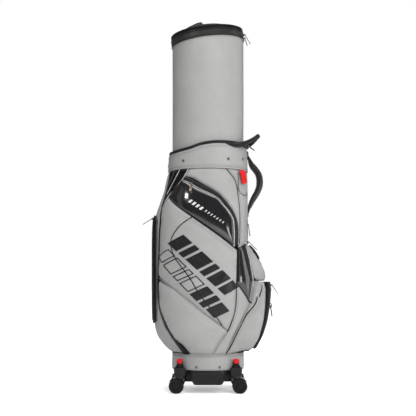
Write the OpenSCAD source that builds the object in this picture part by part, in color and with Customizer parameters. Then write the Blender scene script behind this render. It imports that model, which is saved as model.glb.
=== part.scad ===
// Wheeled golf bag with a telescoping hood, a hinged lid and four twin-wheel casters.
// Millimetres, +Z up. The origin is on the floor, on the axis of the bag's tube.
// +X faces the ball pocket and the carry handle, -Y faces the near side pocket.

/* [Hood and lid] */
// Outside diameter of the telescoping hood
hood_d = 246; // [236:1:246]
// Height of the hood's top edge above the floor, on the bag's axis
hood_top = 1190; // [1150:5:1230]
// Slope of the hood's top edge, higher on the handle side
hood_slope = 6; // [2:0.5:7]
// How far the hood slides down into the bag
hood_travel = 335; // [250:5:350]
// Height of the black band round the hood's top
hood_band_h = 22; // [16:1:26]
// Height of the lid's dome above its edge
lid_rise = 24; // [16:1:30]

/* [Cuff] */
// Height of the cuff's lower edge above the floor
cuff_z = 750; // [740:1:755]
// Outside radius of the cuff at its lower edge
cuff_r_low = 137; // [135:0.5:140]
// Outside radius of the cuff at its upper edge
cuff_r_high = 133; // [131:0.5:134]
// Height of the cuff's upper edge on the bag's axis
cuff_top = 817; // [812:1:818]
// Slope of the cuff's upper edge, higher on the handle side
cuff_slope = 5.4; // [3:0.1:5.6]
// How much higher the cuff's upper edge is at its front and back
cuff_wave = 14; // [6:1:15]
// Height of the black rim on the cuff
rim_h = 11; // [8:1:12]

/* [Base] */
// Height of the base collar's lower edge above the floor
collar_z = 77; // [75:1:80]
// Height of the base collar's upper edge above the floor
collar_top = 130; // [126:1:132]
// Outside radius of the base collar
collar_r = 123; // [122.5:0.5:124]
// Clearance of the chassis above the floor
chassis_z = 29; // [26:1:32]
// Number of rivets round the base collar
collar_rivets = 10; // [8:1:12]

/* [Casters] */
// Distance from the bag's axis to a swivel axis, along X
caster_x = 94; // [94:1:98]
// Distance from the bag's axis to a swivel axis, along Y
caster_y = 105; // [105:1:110]
// Wheel diameter
wheel_d = 50; // [46:1:50]
// Width of one wheel of a pair
wheel_w = 10; // [8:0.5:10]
// Distance of the axle behind the swivel axis
trail = 12; // [8:1:12]
// Travel of the brake button
brake_travel = 4; // [2:0.5:4]

/* [Pockets] */
// How far the ball pocket stands out from the bag's axis
ball_out = 217; // [205:1:220]
// Half width of the ball pocket
ball_half_w = 98; // [88:1:104]
// How far the garment pocket's door stands out from the pocket
door_out = 12; // [8:1:14]

/* [Hidden] */
$fn = 96;

// Colours
grey_hide = [0.70, 0.70, 0.69];
black_hide = [0.05, 0.05, 0.05];
black_plastic = [0.09, 0.09, 0.09];
red = [0.85, 0.05, 0.07];
gunmetal = [0.35, 0.31, 0.28];
board = [0.30, 0.30, 0.32];

gap = 0.3;              // between pieces that rest against each other
seat = 1.1;             // between a sewn piece and the faceted surface under it
hood_r = hood_d / 2;
hood_wall = 2.4;
tube_in = hood_r + 3;   // inside of the tube that the hood slides in
tube_wall = 2;
tube_top = 795;
skin_wall = 2.8;
hood_low = tube_top - 25;
foot_h = 12;
tube_round_z = hood_low - hood_travel - 25; // the tube is round and full width from here up
core_r = 115;
core_top = 800;
cup_floor = collar_z + 5;
cup_r = collar_r - 2.2;
web_t = 4;
axle_z = wheel_d / 2;
stem_r = 5;
axle_r = 3;
web_half = 4.5;         // half thickness of a fork's web
wheel_gap = 5;          // from the fork's middle to a wheel's inner face
guard_half = 15.5;
run = 0.05;             // radial clearance of a running fit
block_low = 60;
block_top = 87;
post_top = 113;
post_r = 10.5;
plug_r = 8.6;           // half width of a brake button
plug_low = 100;
band_r = hood_r + 2.4;
lid_r = hood_r + 0.6;
pin_r = 1.1;            // zip slider pin

// Outline of the covered bag: height, reach on -X, reach on +X, half depth, roundness
outline = [
    [130, 124.6, 124.6, 124.6, 2.00],
    [138, 131, 126, 127, 2.00],
    [163, 155, 132, 133, 2.10],
    [187, 172, 138, 138, 2.20],
    [218, 180, 145, 143, 2.30],
    [300, 181, 158, 150, 2.35],
    [380, 181, 165, 152, 2.35],
    [450, 181, 148, 152, 2.35],
    [492, 181, 137, 151, 2.35],
    [560, 180, 134.6, 150, 2.35],
    [600, 177, 134.6, 148, 2.30],
    [645, 161, 134.6, 143, 2.20],
    [684, 149, 134.6, 138, 2.10],
    [752, 133.4, 134.4, 134, 2.00]];

// Outline of the ball pocket: height, reach on +X, half width
ball_outline = [
    [132, 130, 0.80],
    [138, 158, 0.86],
    [186, 186, 0.95],
    [238, 203, 1.00],
    [290, 212, 1.00],
    [352, 217, 0.98],
    [374, 214, 0.90]];

// Outline of the upper pocket: height, reach on +X, half width
upper_outline = [
    [382, 192, 58],
    [414, 188, 56],
    [459, 166, 52],
    [496, 143, 46]];

function column(table, k) = [for (row = table) [row[0], row[k]]];
function at(table, k, z) = lookup(z, column(table, k));
function superround(a, rx, ry, p) = pow(pow(abs(cos(a)) / rx, p) + pow(abs(sin(a)) / ry, p), -1 / p);
// Radius of the covered bag in direction a at height z
function bag_r(a, z) = superround(a, at(outline, cos(a) < 0 ? 1 : 2, z), at(outline, 3, z),
    at(outline, 4, z));
function skin_r(z) = lookup(z, [[collar_top, collar_r + 1], [tube_round_z, tube_in + tube_wall + 0.4 + skin_wall]]);
function ball_r(a, z) = max(bag_r(a, z) + 3.4, superround(a, at(ball_outline, 1, z) * ball_out / 217,
    at(ball_outline, 2, z) * ball_half_w, 4.5));
function upper_r(a, z) = max(bag_r(a, z) + 3.4, superround(a, at(upper_outline, 1, z),
    at(upper_outline, 2, z), 3.6));
function polar(a, r, z) = [r * cos(a), r * sin(a), z];
function unit(v) = v / norm(v);

// ---- shared solids ----

// Faces of a closed solid between two grids of na x nz points, the outer grid first
function grid_faces(na, nz) =
    let (n = na * nz, idx = function(i, j) i * nz + j) concat(
    [for (i = [0 : na - 2], j = [0 : nz - 2]) each [
        [idx(i, j), idx(i, j + 1), idx(i + 1, j + 1)], [idx(i, j), idx(i + 1, j + 1), idx(i + 1, j)]]],
    [for (i = [0 : na - 2], j = [0 : nz - 2]) each [
        [n + idx(i, j), n + idx(i + 1, j + 1), n + idx(i, j + 1)],
        [n + idx(i, j), n + idx(i + 1, j), n + idx(i + 1, j + 1)]]],
    [for (i = [0 : na - 2]) each [
        [idx(i, 0), idx(i + 1, 0), n + idx(i + 1, 0)], [idx(i, 0), n + idx(i + 1, 0), n + idx(i, 0)],
        [idx(i, nz - 1), n + idx(i + 1, nz - 1), idx(i + 1, nz - 1)],
        [idx(i, nz - 1), n + idx(i, nz - 1), n + idx(i + 1, nz - 1)]]],
    [for (j = [0 : nz - 2]) each [
        [idx(0, j), n + idx(0, j + 1), idx(0, j + 1)], [idx(0, j), n + idx(0, j), n + idx(0, j + 1)],
        [idx(na - 1, j), idx(na - 1, j + 1), n + idx(na - 1, j + 1)],
        [idx(na - 1, j), n + idx(na - 1, j + 1), n + idx(na - 1, j)]]]);

// A sewn pocket: a wall of thickness t that stands on the surface base(a, z) and reaches out(a, z)
// turn(a, z) bends its upright edges
module pocket(angles, heights, base, out, t = 3, turn = function(a, z) a) {
    na = len(angles);
    nz = len(heights);
    edge = function(i, j) i == 0 || j == 0 || i == na - 1 || j == nz - 1;
    inward = function(list, i, d) i == 0 ? list[0] + d : i == len(list) - 1 ? list[i] - d : list[i];
    da = t / 2.6;
    // the grids are laid out upside down, with their faces turned to suit, and mirrored upright
    outer = [for (i = [0 : na - 1], j = [0 : nz - 1]) let (z = heights[j], a = turn(angles[i], z))
        polar(a, edge(i, j) ? base(a, z) : out(a, z), -z)];
    inner = [for (i = [0 : na - 1], j = [0 : nz - 1]) let (z = inward(heights, j, t),
        a = turn(inward(angles, i, da), z)) polar(a, edge(i, j) ? base(a, z) : max(base(a, z), out(a, z) - t), -z)];
    mirror([0, 0, 1]) polyhedron(concat(outer, inner), [for (f = grid_faces(na, nz)) [f[2], f[1], f[0]]]);
}

// Angles or heights from lo to hi in n steps, with a narrow first and last step of d
function steps(lo, hi, n, d) = concat([lo, lo + d], [for (i = [1 : n - 1]) lo + i * (hi - lo) / n], [hi - d, hi]);

// A solid swept along points with an oval section of half sizes w (across) and t (thick)
module sweep(path, w, t, across, sides = 10) {
    n = len(path);
    dir = function(i) unit(path[min(n - 1, i + 1)] - path[max(0, i - 1)]);
    points = [for (i = [0 : n - 1], k = [0 : sides - 1]) let (d = dir(i), u = across,
        v = unit(cross(d, u)), a = 360 * k / sides) path[i] + w[i] * cos(a) * u + t[i] * sin(a) * v];
    sides_faces = [for (i = [0 : n - 2], k = [0 : sides - 1]) let (m = (k + 1) % sides) each [
        [i * sides + k, (i + 1) * sides + k, (i + 1) * sides + m],
        [i * sides + k, (i + 1) * sides + m, i * sides + m]]];
    polyhedron(points, concat(sides_faces, [[for (k = [0 : sides - 1]) k],
        [for (k = [sides - 1 : -1 : 0]) (n - 1) * sides + k]]));
}

// A band of constant width on the surface out(a, z), along points [a, z]
module surface_band(route, half_w, out, h0, h1) {
    n = len(route);
    across = function(i) let (p = route[max(0, i - 1)], q = route[min(n - 1, i + 1)],
        r = out(route[i][0], route[i][1]), d = unit([(q[0] - p[0]) * PI / 180 * r, q[1] - p[1]])) [-d[1], d[0]];
    put = function(i, s, h) let (a = route[i][0], z = route[i][1], r = out(a, z), v = across(i),
        a2 = a + s * half_w * v[0] / r * 180 / PI, z2 = z + s * half_w * v[1]) polar(a2, out(a2, z2) + h, z2);
    points = [for (i = [0 : n - 1]) each [put(i, -1, h0), put(i, 1, h0), put(i, 1, h1), put(i, -1, h1)]];
    walls = [for (i = [0 : n - 2], k = [0 : 3]) let (m = (k + 1) % 4) each [
        [4 * i + k, 4 * i + 4 + k, 4 * i + 4 + m], [4 * i + k, 4 * i + 4 + m, 4 * i + m]]];
    polyhedron(points, concat(walls, [[0, 1, 2, 3], [4 * n - 1, 4 * n - 2, 4 * n - 3, 4 * n - 4]]));
}

module ring(r_in, r_out, z0, z1) {
    difference() {
        translate([0, 0, z0]) cylinder(r = r_out, h = z1 - z0);
        translate([0, 0, z0 - 1]) cylinder(r = r_in, h = z1 - z0 + 2);
    }
}

// A box with rounded upright edges, centred on X and Y
module rounded_box(x, y, z0, z1, r) {
    translate([0, 0, z0]) {
        translate([-x / 2, r - y / 2, 0]) cube([x, y - 2 * r, z1 - z0]);
        translate([r - x / 2, -y / 2, 0]) cube([x - 2 * r, y, z1 - z0]);
        for (i = [-1, 1], j = [-1, 1])
            translate([i * (x / 2 - r), j * (y / 2 - r), 0]) cylinder(r = r, h = z1 - z0);
    }
}

// Everything below a plane that slopes up towards +X and passes height z on the axis
module below(z, slope, drop = 600, reach = 400) {
    translate([0, 0, z]) rotate([0, -slope, 0]) translate([-reach, -reach, -drop])
        cube([2 * reach, 2 * reach, drop]);
}

// Everything above the cuff's saddle-shaped upper edge, raised by d
saddle_r = (cuff_r_high * cuff_r_high + cuff_wave * cuff_wave) / (2 * cuff_wave);
module above_cuff(d = 0) translate([0, 0, cuff_top + d]) rotate([0, -cuff_slope, 0])
    translate([-200, 0, saddle_r]) rotate([0, 90, 0]) cylinder(r = saddle_r, h = 400);

// Places the children in the frame of the hood's top edge
module hood_frame() translate([0, 0, hood_top]) rotate([0, -hood_slope, 0]) children();

// Places the children at each caster's swivel axis, wheels trailing away from the bag
module at_caster(side_x, side_y) translate([side_x * caster_x, side_y * caster_y, 0])
    rotate([0, 0, side_x > 0 ? 0 : 180]) children();

// ---- base ----

module chassis() color(black_plastic) difference() {
    union() {
        translate([0, 0, 64]) cylinder(r = collar_r - 4, h = collar_z - 64 - gap);
        rounded_box(104, 198, 35, 66, 12);
        rounded_box(168, 118, 35, 66, 12);
        translate([0, 0, chassis_z]) cylinder(r = 42, h = 8);
        for (i = [-1, 1], j = [-1, 1]) {
            translate([i * caster_x, j * caster_y, 0]) rounded_box(38, 34, block_low, block_top, 7);
            rotate([0, 0, atan2(j * caster_y, i * caster_x)]) translate([60, -15, 62])
                cube([norm([caster_x, caster_y]) - 60, 30, 14.5]);
        }
    }
    translate([0, 0, collar_z - gap]) cylinder(r = collar_r + 0.6, h = 20);
    for (i = [-1, 1], j = [-1, 1]) translate([i * caster_x, j * caster_y, block_low - 1])
        cylinder(r = stem_r + run, h = block_top - block_low + 2);
    for (i = [-1, 1], j = [-1, 1]) translate([i * 26, j * 14, chassis_z - 1]) cylinder(r = 4.2, h = 3.5);
    for (i = [-1, 1], j = [-1, 1]) translate([i * 36, j * 76, 34]) cylinder(r = 4.2, h = 3.5);
}

module grip() {
    translate([0, -99, 0]) rotate([90, 0, 0]) linear_extrude(17)
        polygon([[-52, 68], [52, 68], [52, 37], [44, chassis_z], [-44, chassis_z], [-52, 37]]);
    for (k = [-7 : 7]) translate([k * 6.4 - 1.6, -118.2, 34]) cube([3.2, 3, 30]);
}

module bottom_grips() color(black_plastic) difference() {
    for (i = [0, 180]) rotate([0, 0, i]) grip();
    translate([0, 0, 64 - gap]) cylinder(r = collar_r - 3.7, h = 30);
}

module screw() difference() {
    cylinder(r = 4, h = 2.4);
    translate([0, 0, -1]) cylinder(r = 1.8, h = 2.4, $fn = 6);
}

module chassis_screws() color(gunmetal) {
    for (i = [-1, 1], j = [-1, 1]) translate([i * 26, j * 14, chassis_z]) screw();
    for (i = [-1, 1], j = [-1, 1]) translate([i * 36, j * 76, 35]) screw();
}

// Outline of a brake button seen from the front, z_low its lowest point
module button_shape(r, z_low, z_high) rotate([90, 0, 0]) {
    translate([0, z_low + r, -20]) cylinder(r = r, h = 40);
    translate([-r, z_low + r, -20]) cube([2 * r, z_high - z_low - r, 40]);
}

module caster_posts() color(black_plastic) for (i = [-1, 1], j = [-1, 1])
    translate([i * caster_x, j * caster_y, 0]) difference() {
        translate([0, 0, block_top]) cylinder(r = post_r, h = post_top - block_top);
        if (j < 0) intersection() {
            button_shape(plug_r + 0.3, plug_low - brake_travel - 0.5, post_top + 5);
            translate([-20, -20, 0]) cube([40, 20, 200]);
        }
    }

module brake_button(i) color(red) translate([i * caster_x, -caster_y, 0]) {
    intersection() {
        button_shape(plug_r, plug_low, post_top + 2.5);
        translate([-20, -20, 0]) cube([40, 20 - gap, 200]);
        translate([0, 0, plug_low - 1]) cylinder(r = post_r + 1.5, h = 20);
    }
}

module base_cup() color(black_plastic) difference() {
    translate([0, 0, collar_z]) cylinder(r = cup_r, h = collar_top + 4 - collar_z);
    translate([0, 0, cup_floor]) cylinder(r = cup_r - 3, h = 80);
}

module collar() color(grey_hide) ring(cup_r + 0.2, collar_r, collar_z, collar_top - gap);

module rivet(r = 4.6) {
    cylinder(r = r, h = 1);
    intersection() {
        translate([0, 0, 2.2 - 6]) sphere(r = 6);
        translate([0, 0, 1]) cylinder(r = r - 1.2, h = 4);
    }
}

// A point on the cuff's outside
function cuff_r(z) = cuff_r_low + (cuff_r_high - cuff_r_low) * (z - cuff_z) / 85;
cuff_rivet_places = [[-127, 776], [-60, 781], [-30, 787], [127, 776], [60, 781], [30, 787], [180, 772]];

module rivets() color(gunmetal) {
    for (k = [0 : collar_rivets - 1]) rotate([0, 0, 72 + k * 360 / collar_rivets])
        translate([collar_r, 0, 88]) rotate([0, 90, 0]) rivet();
    for (p = cuff_rivet_places) rotate([0, 0, p[0]]) translate([cuff_r(p[1]) + 0.4, 0, p[1]])
        rotate([0, 90 - 2.7, 0]) rivet();
}

// ---- tubes and dividers ----

module outer_tube() color(board) rotate_extrude() polygon([
    [cup_r - 2, collar_top + 4.3], [cup_r, collar_top + 4.3], [tube_in + tube_wall, tube_round_z],
    [tube_in + tube_wall, tube_top], [tube_in, tube_top], [tube_in, tube_round_z]]);

module hood_stop_ring() color(black_plastic)
    ring(hood_r + 0.6, tube_in - 0.05, hood_low + foot_h + gap, tube_top);

module core_tube() color(board) ring(core_r - 2, core_r, cup_floor, core_top);

module divider_webs() color(board) difference() {
    for (a = [0, 90]) rotate([0, 0, a]) translate([-core_r + 2.3, -web_t / 2, cup_floor])
        cube([2 * core_r - 4.6, web_t, core_top - cup_floor - 6]);
}

module divider_top() color(black_plastic) {
    ring(core_r - 7, core_r, core_top, core_top + 12);
    intersection() {
        translate([0, 0, core_top]) cylinder(r = core_r - 6.5, h = 12);
        for (a = [0, 90]) rotate([0, 0, a]) translate([-core_r, -5, core_top]) cube([2 * core_r, 10, 12]);
    }
}

// ---- soft body ----

module bag_skin() color(grey_hide) rotate_extrude() polygon([
    [skin_r(collar_top) - skin_wall, collar_top + 5], [skin_r(collar_top), collar_top],
    [skin_r(tube_round_z), tube_round_z], [skin_r(tube_round_z), cuff_z - gap],
    [skin_r(tube_round_z) - skin_wall, cuff_z - gap], [skin_r(tube_round_z) - skin_wall, tube_round_z]]);

on_skin = function(a, z) skin_r(z) + seat;
on_bag = function(a, z) bag_r(a, z) + seat;
bag_out = function(a, z) bag_r(a, z);
body_heights = concat([collar_top + 1, 136, 150, 165, 190, 220, 260], [for (z = [310 : 60 : 610]) z],
    [645, 685, 720, 745, cuff_z - 1]);

module side_pocket(s) color(grey_hide) pocket(s < 0 ? steps(-157, -2, 15, 1.3) : steps(2, 157, 15, 1.3), body_heights,
    on_skin, bag_out);

module garment_pocket() color(grey_hide)
    pocket(steps(158, 202, 5, 1.3), body_heights, on_skin, bag_out);

module garment_door() color(black_hide) pocket(steps(162, 198, 5, 1.2), steps(234, 598, 7, 8), on_bag,
    door_face);

// The ball pocket's sides lean: its half angle at height z, as a share of the widest
ball_reach = 61;
function ball_lean(z) = lookup(z, [[133, 61], [160, 57], [205, 50], [257, 39], [295, 29], [337, 26], [376, 25]]) / ball_reach;

module ball_pocket() color(grey_hide) pocket(steps(-ball_reach, ball_reach, 12, 3),
    [133, 139, 160, 190, 225, 260, 300, 340, 366, 376], on_bag, ball_out_r, 3, function(a, z) a * ball_lean(z));

module upper_pocket() color(grey_hide) pocket(steps(-20, 20, 6, 2), [382, 387, 405, 430, 455, 475, 491, 495],
    on_bag, function(a, z) upper_r(a, z));

module upper_flap() color(grey_hide) translate([0, -30, 0]) rotate([-90, 0, 0]) linear_extrude(60)
    polygon([for (p = [[143, 498], [148, 499], [180, 460], [177, 457], [146, 494]]) [p[0], -p[1]]]);

// ---- zips: a band on the surface with a slider, whose pin carries the pull ----

slider_in = 1.3;        // inner face of a slider, from the surface under its zip
module slider(len = 8) {
    translate([slider_in, -4, -5]) cube([1.0, 8, 10]);
    for (s = [-1, 1]) translate([slider_in, s * (len / 2 - 0.8) - 0.8, -2]) cube([5.2, 1.6, 4]);
    translate([pin_out, -len / 2, 0]) rotate([-90, 0, 0]) cylinder(r = pin_r, h = len);
}

// A pull that hangs from the pin at the origin: a barrel, a neck and a blade with an eye
module pull(length, w = 6) {
    difference() {
        union() {
            translate([0, -2.3, 0]) rotate([-90, 0, 0]) cylinder(r = 2.3, h = 4.6);
            translate([-1, -2, -8]) cube([2, 4, 7]);
            translate([-1, -w / 2, -length + w / 2]) cube([2, w, length - 6 - w / 2]);
            translate([-1, 0, -length + w / 2]) rotate([0, 90, 0]) cylinder(r = w / 2, h = 2);
        }
        translate([0, -4, 0]) rotate([-90, 0, 0]) cylinder(r = pin_r + run, h = 8);
        translate([-2, 0, -length + w / 2 + 1]) rotate([0, 90, 0]) cylinder(r = w / 4, h = 4);
    }
}

// Where each slider is: direction, radius of the surface, height
function place(a, z, out) = [a, out(a, z), z];
door_face = function(a, z) bag_r(a, z) + door_out;
ball_out_r = function(a, z) ball_r(a, z);
side_pull_at = place(-113, 696, bag_out);
garment_pull_at = place(180, 590, door_face);
upper_pull_at = place(0, 510, bag_out);
right_pull_at = place(-14, 568, bag_out);
ball_pull_at = place(0, 362, ball_out_r);
pin_out = 5.0;          // from the surface to a slider's pin

module on_surface(p) rotate([0, 0, p[0]]) translate([p[1], 0, p[2]]) children();
module hung(p, lean) on_surface(p) translate([pin_out, 0, 0]) rotate([0, -lean, 0]) children();

side_zip_route = [[-118, 706], [-108, 689], [-98, 671], [-88, 650], [-79, 625], [-71, 595], [-65, 560],
    [-60, 520], [-57, 480]];

module side_zip() {
    surface_band(side_zip_route, 5, bag_out, seat, 2.2);
    on_surface(side_pull_at) slider();
}

module side_zips() color(black_hide) {
    side_zip();
    mirror([0, 1, 0]) side_zip();
}

module garment_zip() color(black_hide) {
    surface_band([for (z = [590 : -50 : 240]) [180, z]], 5, door_face, seat, 2.2);
    on_surface(garment_pull_at) slider();
}

module upper_zip() color(black_hide) {
    surface_band([for (a = [-22 : 11 : 22]) [a, 508]], 4, bag_out, seat, 2.2);
    on_surface(upper_pull_at) slider();
    surface_band([for (z = [580 : -12 : 520]) [-14, z]], 3.5, bag_out, seat, 2.2);
    on_surface(right_pull_at) slider();
}

module ball_zip() color(black_hide) {
    surface_band([for (z = [360 : -24 : 144]) [-15.4, z]], 6, ball_out_r, seat, 2.2);
    surface_band([for (z = [360 : -24 : 144]) [15.4, z]], 6, ball_out_r, seat, 2.2);
    surface_band([for (a = [-10 : 5 : 10]) [a, 362]], 6, ball_out_r, seat, 2.2);
    on_surface(ball_pull_at) slider();
}

// The two sliders of the lid's zip, one above the other, as [turn about the axis, height]
lid_sliders = [[-4, hood_band_h - 3], [5, hood_band_h - 9]];

module hood_zip() color(black_hide) hood_frame() {
    ring(hood_r - hood_wall, band_r - 0.6, hood_band_h + gap, hood_band_h + 4);
    for (p = lid_sliders) rotate([0, 0, p[0]]) {
        translate([band_r - 0.4, 0, p[1]]) slider();
        // a tongue joins the slider to the zip above the band
        translate([band_r - 2, -2.5, hood_band_h + 0.5]) cube([3, 5, 3]);
        translate([band_r + gap, -3, p[1] - 4]) cube([1.2, 6, hood_band_h + 7.6 - p[1]]);
    }
}

module lid_pull(p, lean, length) hood_frame() rotate([0, 0, p[0]])
    translate([band_r - 0.4 + pin_out, 0, p[1]]) rotate([0, -lean, 0]) pull(length, 5);

// ---- cuff and handles ----

module cuff() color(grey_hide) difference() {
    translate([0, 0, cuff_z]) cylinder(r1 = cuff_r_low, r2 = cuff_r_high, h = 85);
    translate([0, 0, cuff_z - 1]) cylinder(r = tube_in + tube_wall + gap, h = 100);
    above_cuff();
}

module cuff_rim() color(black_plastic) difference() {
    intersection() {
        ring(125.4, 133.6, 780, 870);
        above_cuff();
    }
    above_cuff(rim_h);
}

// Half of the lift handle's path, from the rim on its -Y side out and up to its outermost point
lift_half = [[88, -105.5, 832], [105, -94, 835], [121, -77, 840], [136, -60, 848], [151, -43, 858],
    [164, -24, 869], [171, -9, 875]];
lift_path = concat(lift_half, [for (k = [6 : -1 : 0]) [lift_half[k][0], -lift_half[k][1], lift_half[k][2]]]);
lift_w = [4.5, 6, 7, 7, 7, 7, 7, 7, 7, 7, 7, 7, 6, 4.5];
lift_t = [2, 3.5, 5, 6, 6, 6, 6, 6, 6, 6, 6, 5, 3.5, 2];

module lift_handle() color(black_plastic) sweep(lift_path, lift_w, lift_t, unit([-0.45, 0, 0.89]));

carry_path = [[139, 0, 806], [143, 0, 792], [152, 0, 773], [166, 0, 757], [175, 0, 740], [178, 0, 722],
    [176, 0, 702], [168, 0, 682], [157, 0, 663], [148, 0, 645], [143, 0, 628], [139.5, 0, 610]];
carry_w = [15, 17, 18, 17, 16, 16, 16, 17, 18, 18, 17, 15];
carry_t = [2.2, 5, 9, 10, 10, 10, 10, 10, 9, 7, 5, 2.2];

module carry_handle() color(black_hide) sweep(carry_path, carry_w, carry_t, [0, 1, 0], 12);

// ---- umbrella sleeve ----

module umbrella_sleeve() color(grey_hide) {
    surface_band([for (z = [668 : -28 : 500]) [-33, z]], 14, bag_out, 2, 7);
    surface_band([for (z = [742 : -19 : 666]) [-33, z]], 19, bag_out, 2.8, 11);
}

module red_tab() color(red) rotate([0, 0, -38]) translate([149, -14, 700]) cube([1.4, 28, 46]);

// ---- hood and lid ----

module hood_tube() color(grey_hide) difference() {
    intersection() {
        translate([0, 0, hood_low]) cylinder(r = hood_r, h = 480);
        below(hood_top, hood_slope);
    }
    translate([0, 0, hood_low - 1]) cylinder(r = hood_r - hood_wall, h = 500);
}

module hood_rim() color(black_hide) hood_frame() ring(hood_r - hood_wall, band_r, gap, hood_band_h);

module hood_foot_ring() color(black_plastic)
    ring(hood_r + 0.05, tube_in - 0.4, hood_low, hood_low + foot_h);

lid_z = hood_band_h + 4.3;
lid_edge = 8;
module lid_shell() color(black_hide) hood_frame() difference() {
    union() {
        translate([0, 0, lid_z]) cylinder(r = lid_r, h = lid_edge);
        intersection() {
            translate([0, 0, lid_z + lid_edge]) cylinder(r = lid_r - 2, h = lid_rise);
            translate([0, 0, lid_z + lid_edge + lid_rise - 330]) sphere(r = 330);
        }
    }
    intersection() {
        translate([0, 0, lid_z - 1]) cylinder(r = lid_r - 4, h = lid_rise + lid_edge);
        translate([0, 0, lid_z + lid_edge + lid_rise - 333]) sphere(r = 330);
    }
}

// From the left foot up, over and down to the right foot, in the frame of the hood's edge
lid_handle_path = [for (p = [[-72, 51], [-71, 56], [-67, 61], [-58, 65], [-47, 69], [-35, 73], [-24, 76.5],
    [-16, 76.5], [-12, 72], [-11, 66], [-11, 59]]) [p[0], 0, p[1]]];

module lid_handle() color(black_hide) hood_frame()
    sweep(lid_handle_path, [for (p = lid_handle_path) 12], [for (p = lid_handle_path) 2.6], [0, 1, 0], 12);

// ---- hanging hardware ----

loop_z = 292;           // height of the loop that holds the ring
loop_x = ball_r(0, loop_z) + gap;
ring_wire = 1.6;
ring_bend = 6.5;        // radius of the ring's round ends
ring_hang = 3.1;        // from the pocket to the ring's wire

module ring_loop() color(black_hide) {
    translate([loop_x + seat, 0, loop_z]) difference() {
        rotate([90, 0, 0]) rotate_extrude() translate([6.6, 0]) circle(r = 1.4, $fn = 32);
        translate([-20, -20, -20]) cube([20, 40, 40]);
    }
    for (s = [-1, 1]) translate([loop_x + seat, -4, loop_z + s * 8 - 3]) cube([1.6, 8, 6]);
}

module towel_ring() color(gunmetal) translate([loop_x + ring_hang, 0, loop_z]) rotate([0, -8, 0]) {
    for (s = [-1, 1]) translate([0, s * ring_bend, -ring_bend - 25]) cylinder(r = ring_wire, h = 25);
    for (z = [0, 1]) translate([0, 0, -ring_bend - z * 25]) mirror([0, 0, z]) rotate([90, 0, 90])
        rotate_extrude(angle = 180) translate([ring_bend, 0]) circle(r = ring_wire);
}

// ---- casters ----

module fork() color(black_plastic) {
    translate([0, 0, 50]) cylinder(r = stem_r, h = block_top - 51);
    translate([0, 0, 52]) cylinder(r = 17, h = 7.4);
    translate([0, web_half, 0]) rotate([90, 0, 0]) linear_extrude(2 * web_half)
        polygon([[-13, 53], [17, 53], [trail + 10, axle_z], [trail - 10, axle_z]]);
    translate([trail, web_half, axle_z]) rotate([90, 0, 0]) cylinder(r = 10, h = 2 * web_half);
    // guard over the wheels
    intersection() {
        translate([trail, guard_half, axle_z]) rotate([90, 0, 0]) difference() {
            cylinder(r = wheel_d / 2 + 3.2, h = 2 * guard_half);
            translate([0, 0, -1]) cylinder(r = wheel_d / 2 + 1.4, h = 2 * guard_half + 2);
        }
        translate([-40, -30, axle_z + 15]) cube([100, 60, 40]);
    }
    translate([trail, wheel_gap + wheel_w, axle_z]) rotate([90, 0, 0])
        cylinder(r = axle_r, h = 2 * (wheel_gap + wheel_w));
}

// A wheel about +Y at the origin, its spoked face towards +Y
module wheel() color(black_plastic) {
    rotate([-90, 0, 0]) rotate_extrude() polygon([[axle_r + run, 0], [wheel_d / 2 - 1, 0],
        [wheel_d / 2, 1.5], [wheel_d / 2, wheel_w - 2.5], [wheel_d / 2 - 2.5, wheel_w],
        [19.5, wheel_w], [18.5, wheel_w - 5], [7, wheel_w - 5], [6, wheel_w - 1], [axle_r + run, wheel_w - 1]]);
    for (k = [0 : 4]) rotate([0, k * 72, 0]) translate([-2, wheel_w - 6, 5.5]) cube([4, 4.5, 13.5]);
}

module wheel_pair_half(side_x, side_y, outer) at_caster(side_x, side_y) translate([trail, 0, axle_z]) {
    faces_out = (side_x > 0 ? 1 : -1) * side_y * (outer ? 1 : -1) > 0;
    if (faces_out) translate([0, wheel_gap, 0]) wheel();
    else rotate([0, 0, 180]) translate([0, wheel_gap, 0]) wheel();
}

chassis();
bottom_grips();
chassis_screws();
caster_posts();
base_cup();
collar();
rivets();
outer_tube();
hood_stop_ring();
core_tube();
divider_top();
divider_webs();
bag_skin();
cuff();
cuff_rim();
lift_handle();
carry_handle();
umbrella_sleeve();
red_tab();
side_pocket(-1);  // side_pocket_near
side_pocket(1);  // side_pocket_far
garment_pocket();
garment_door();
upper_pocket();
upper_flap();
ball_pocket();
side_zips();
garment_zip();
upper_zip();
ball_zip();
hood_tube();
hood_rim();
hood_foot_ring();
hood_zip();
lid_shell();
lid_handle();
color(gunmetal) lid_pull(lid_sliders[0], 24, 38);  // lid_pull_upper
color(gunmetal) lid_pull(lid_sliders[1], 12, 28);  // lid_pull_lower
color(gunmetal) hung(side_pull_at, 10) pull(32, 9);  // near_pull
color(gunmetal) mirror([0, 1, 0]) hung(side_pull_at, 10) pull(32, 9);  // far_pull
color(gunmetal) hung(garment_pull_at, 58) pull(36);  // garment_pull
color(gunmetal) hung(upper_pull_at, 46) pull(38);  // upper_pull
color(gunmetal) hung(right_pull_at, 8) pull(40);  // right_pull
color(gunmetal) hung(ball_pull_at, 34) pull(38);  // ball_pull
ring_loop();
towel_ring();
brake_button(-1);  // brake_button_l
brake_button(1);  // brake_button_r
at_caster(-1, -1) fork();  // fork_fl
at_caster(1, -1) fork();  // fork_fr
at_caster(-1, 1) fork();  // fork_rl
at_caster(1, 1) fork();  // fork_rr
wheel_pair_half(-1, -1, true);  // wheel_fl_outer
wheel_pair_half(-1, -1, false);  // wheel_fl_inner
wheel_pair_half(1, -1, true);  // wheel_fr_outer
wheel_pair_half(1, -1, false);  // wheel_fr_inner
wheel_pair_half(-1, 1, true);  // wheel_rl_outer
wheel_pair_half(-1, 1, false);  // wheel_rl_inner
wheel_pair_half(1, 1, true);  // wheel_rr_outer
wheel_pair_half(1, 1, false);  // wheel_rr_inner
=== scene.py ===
import math

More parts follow.
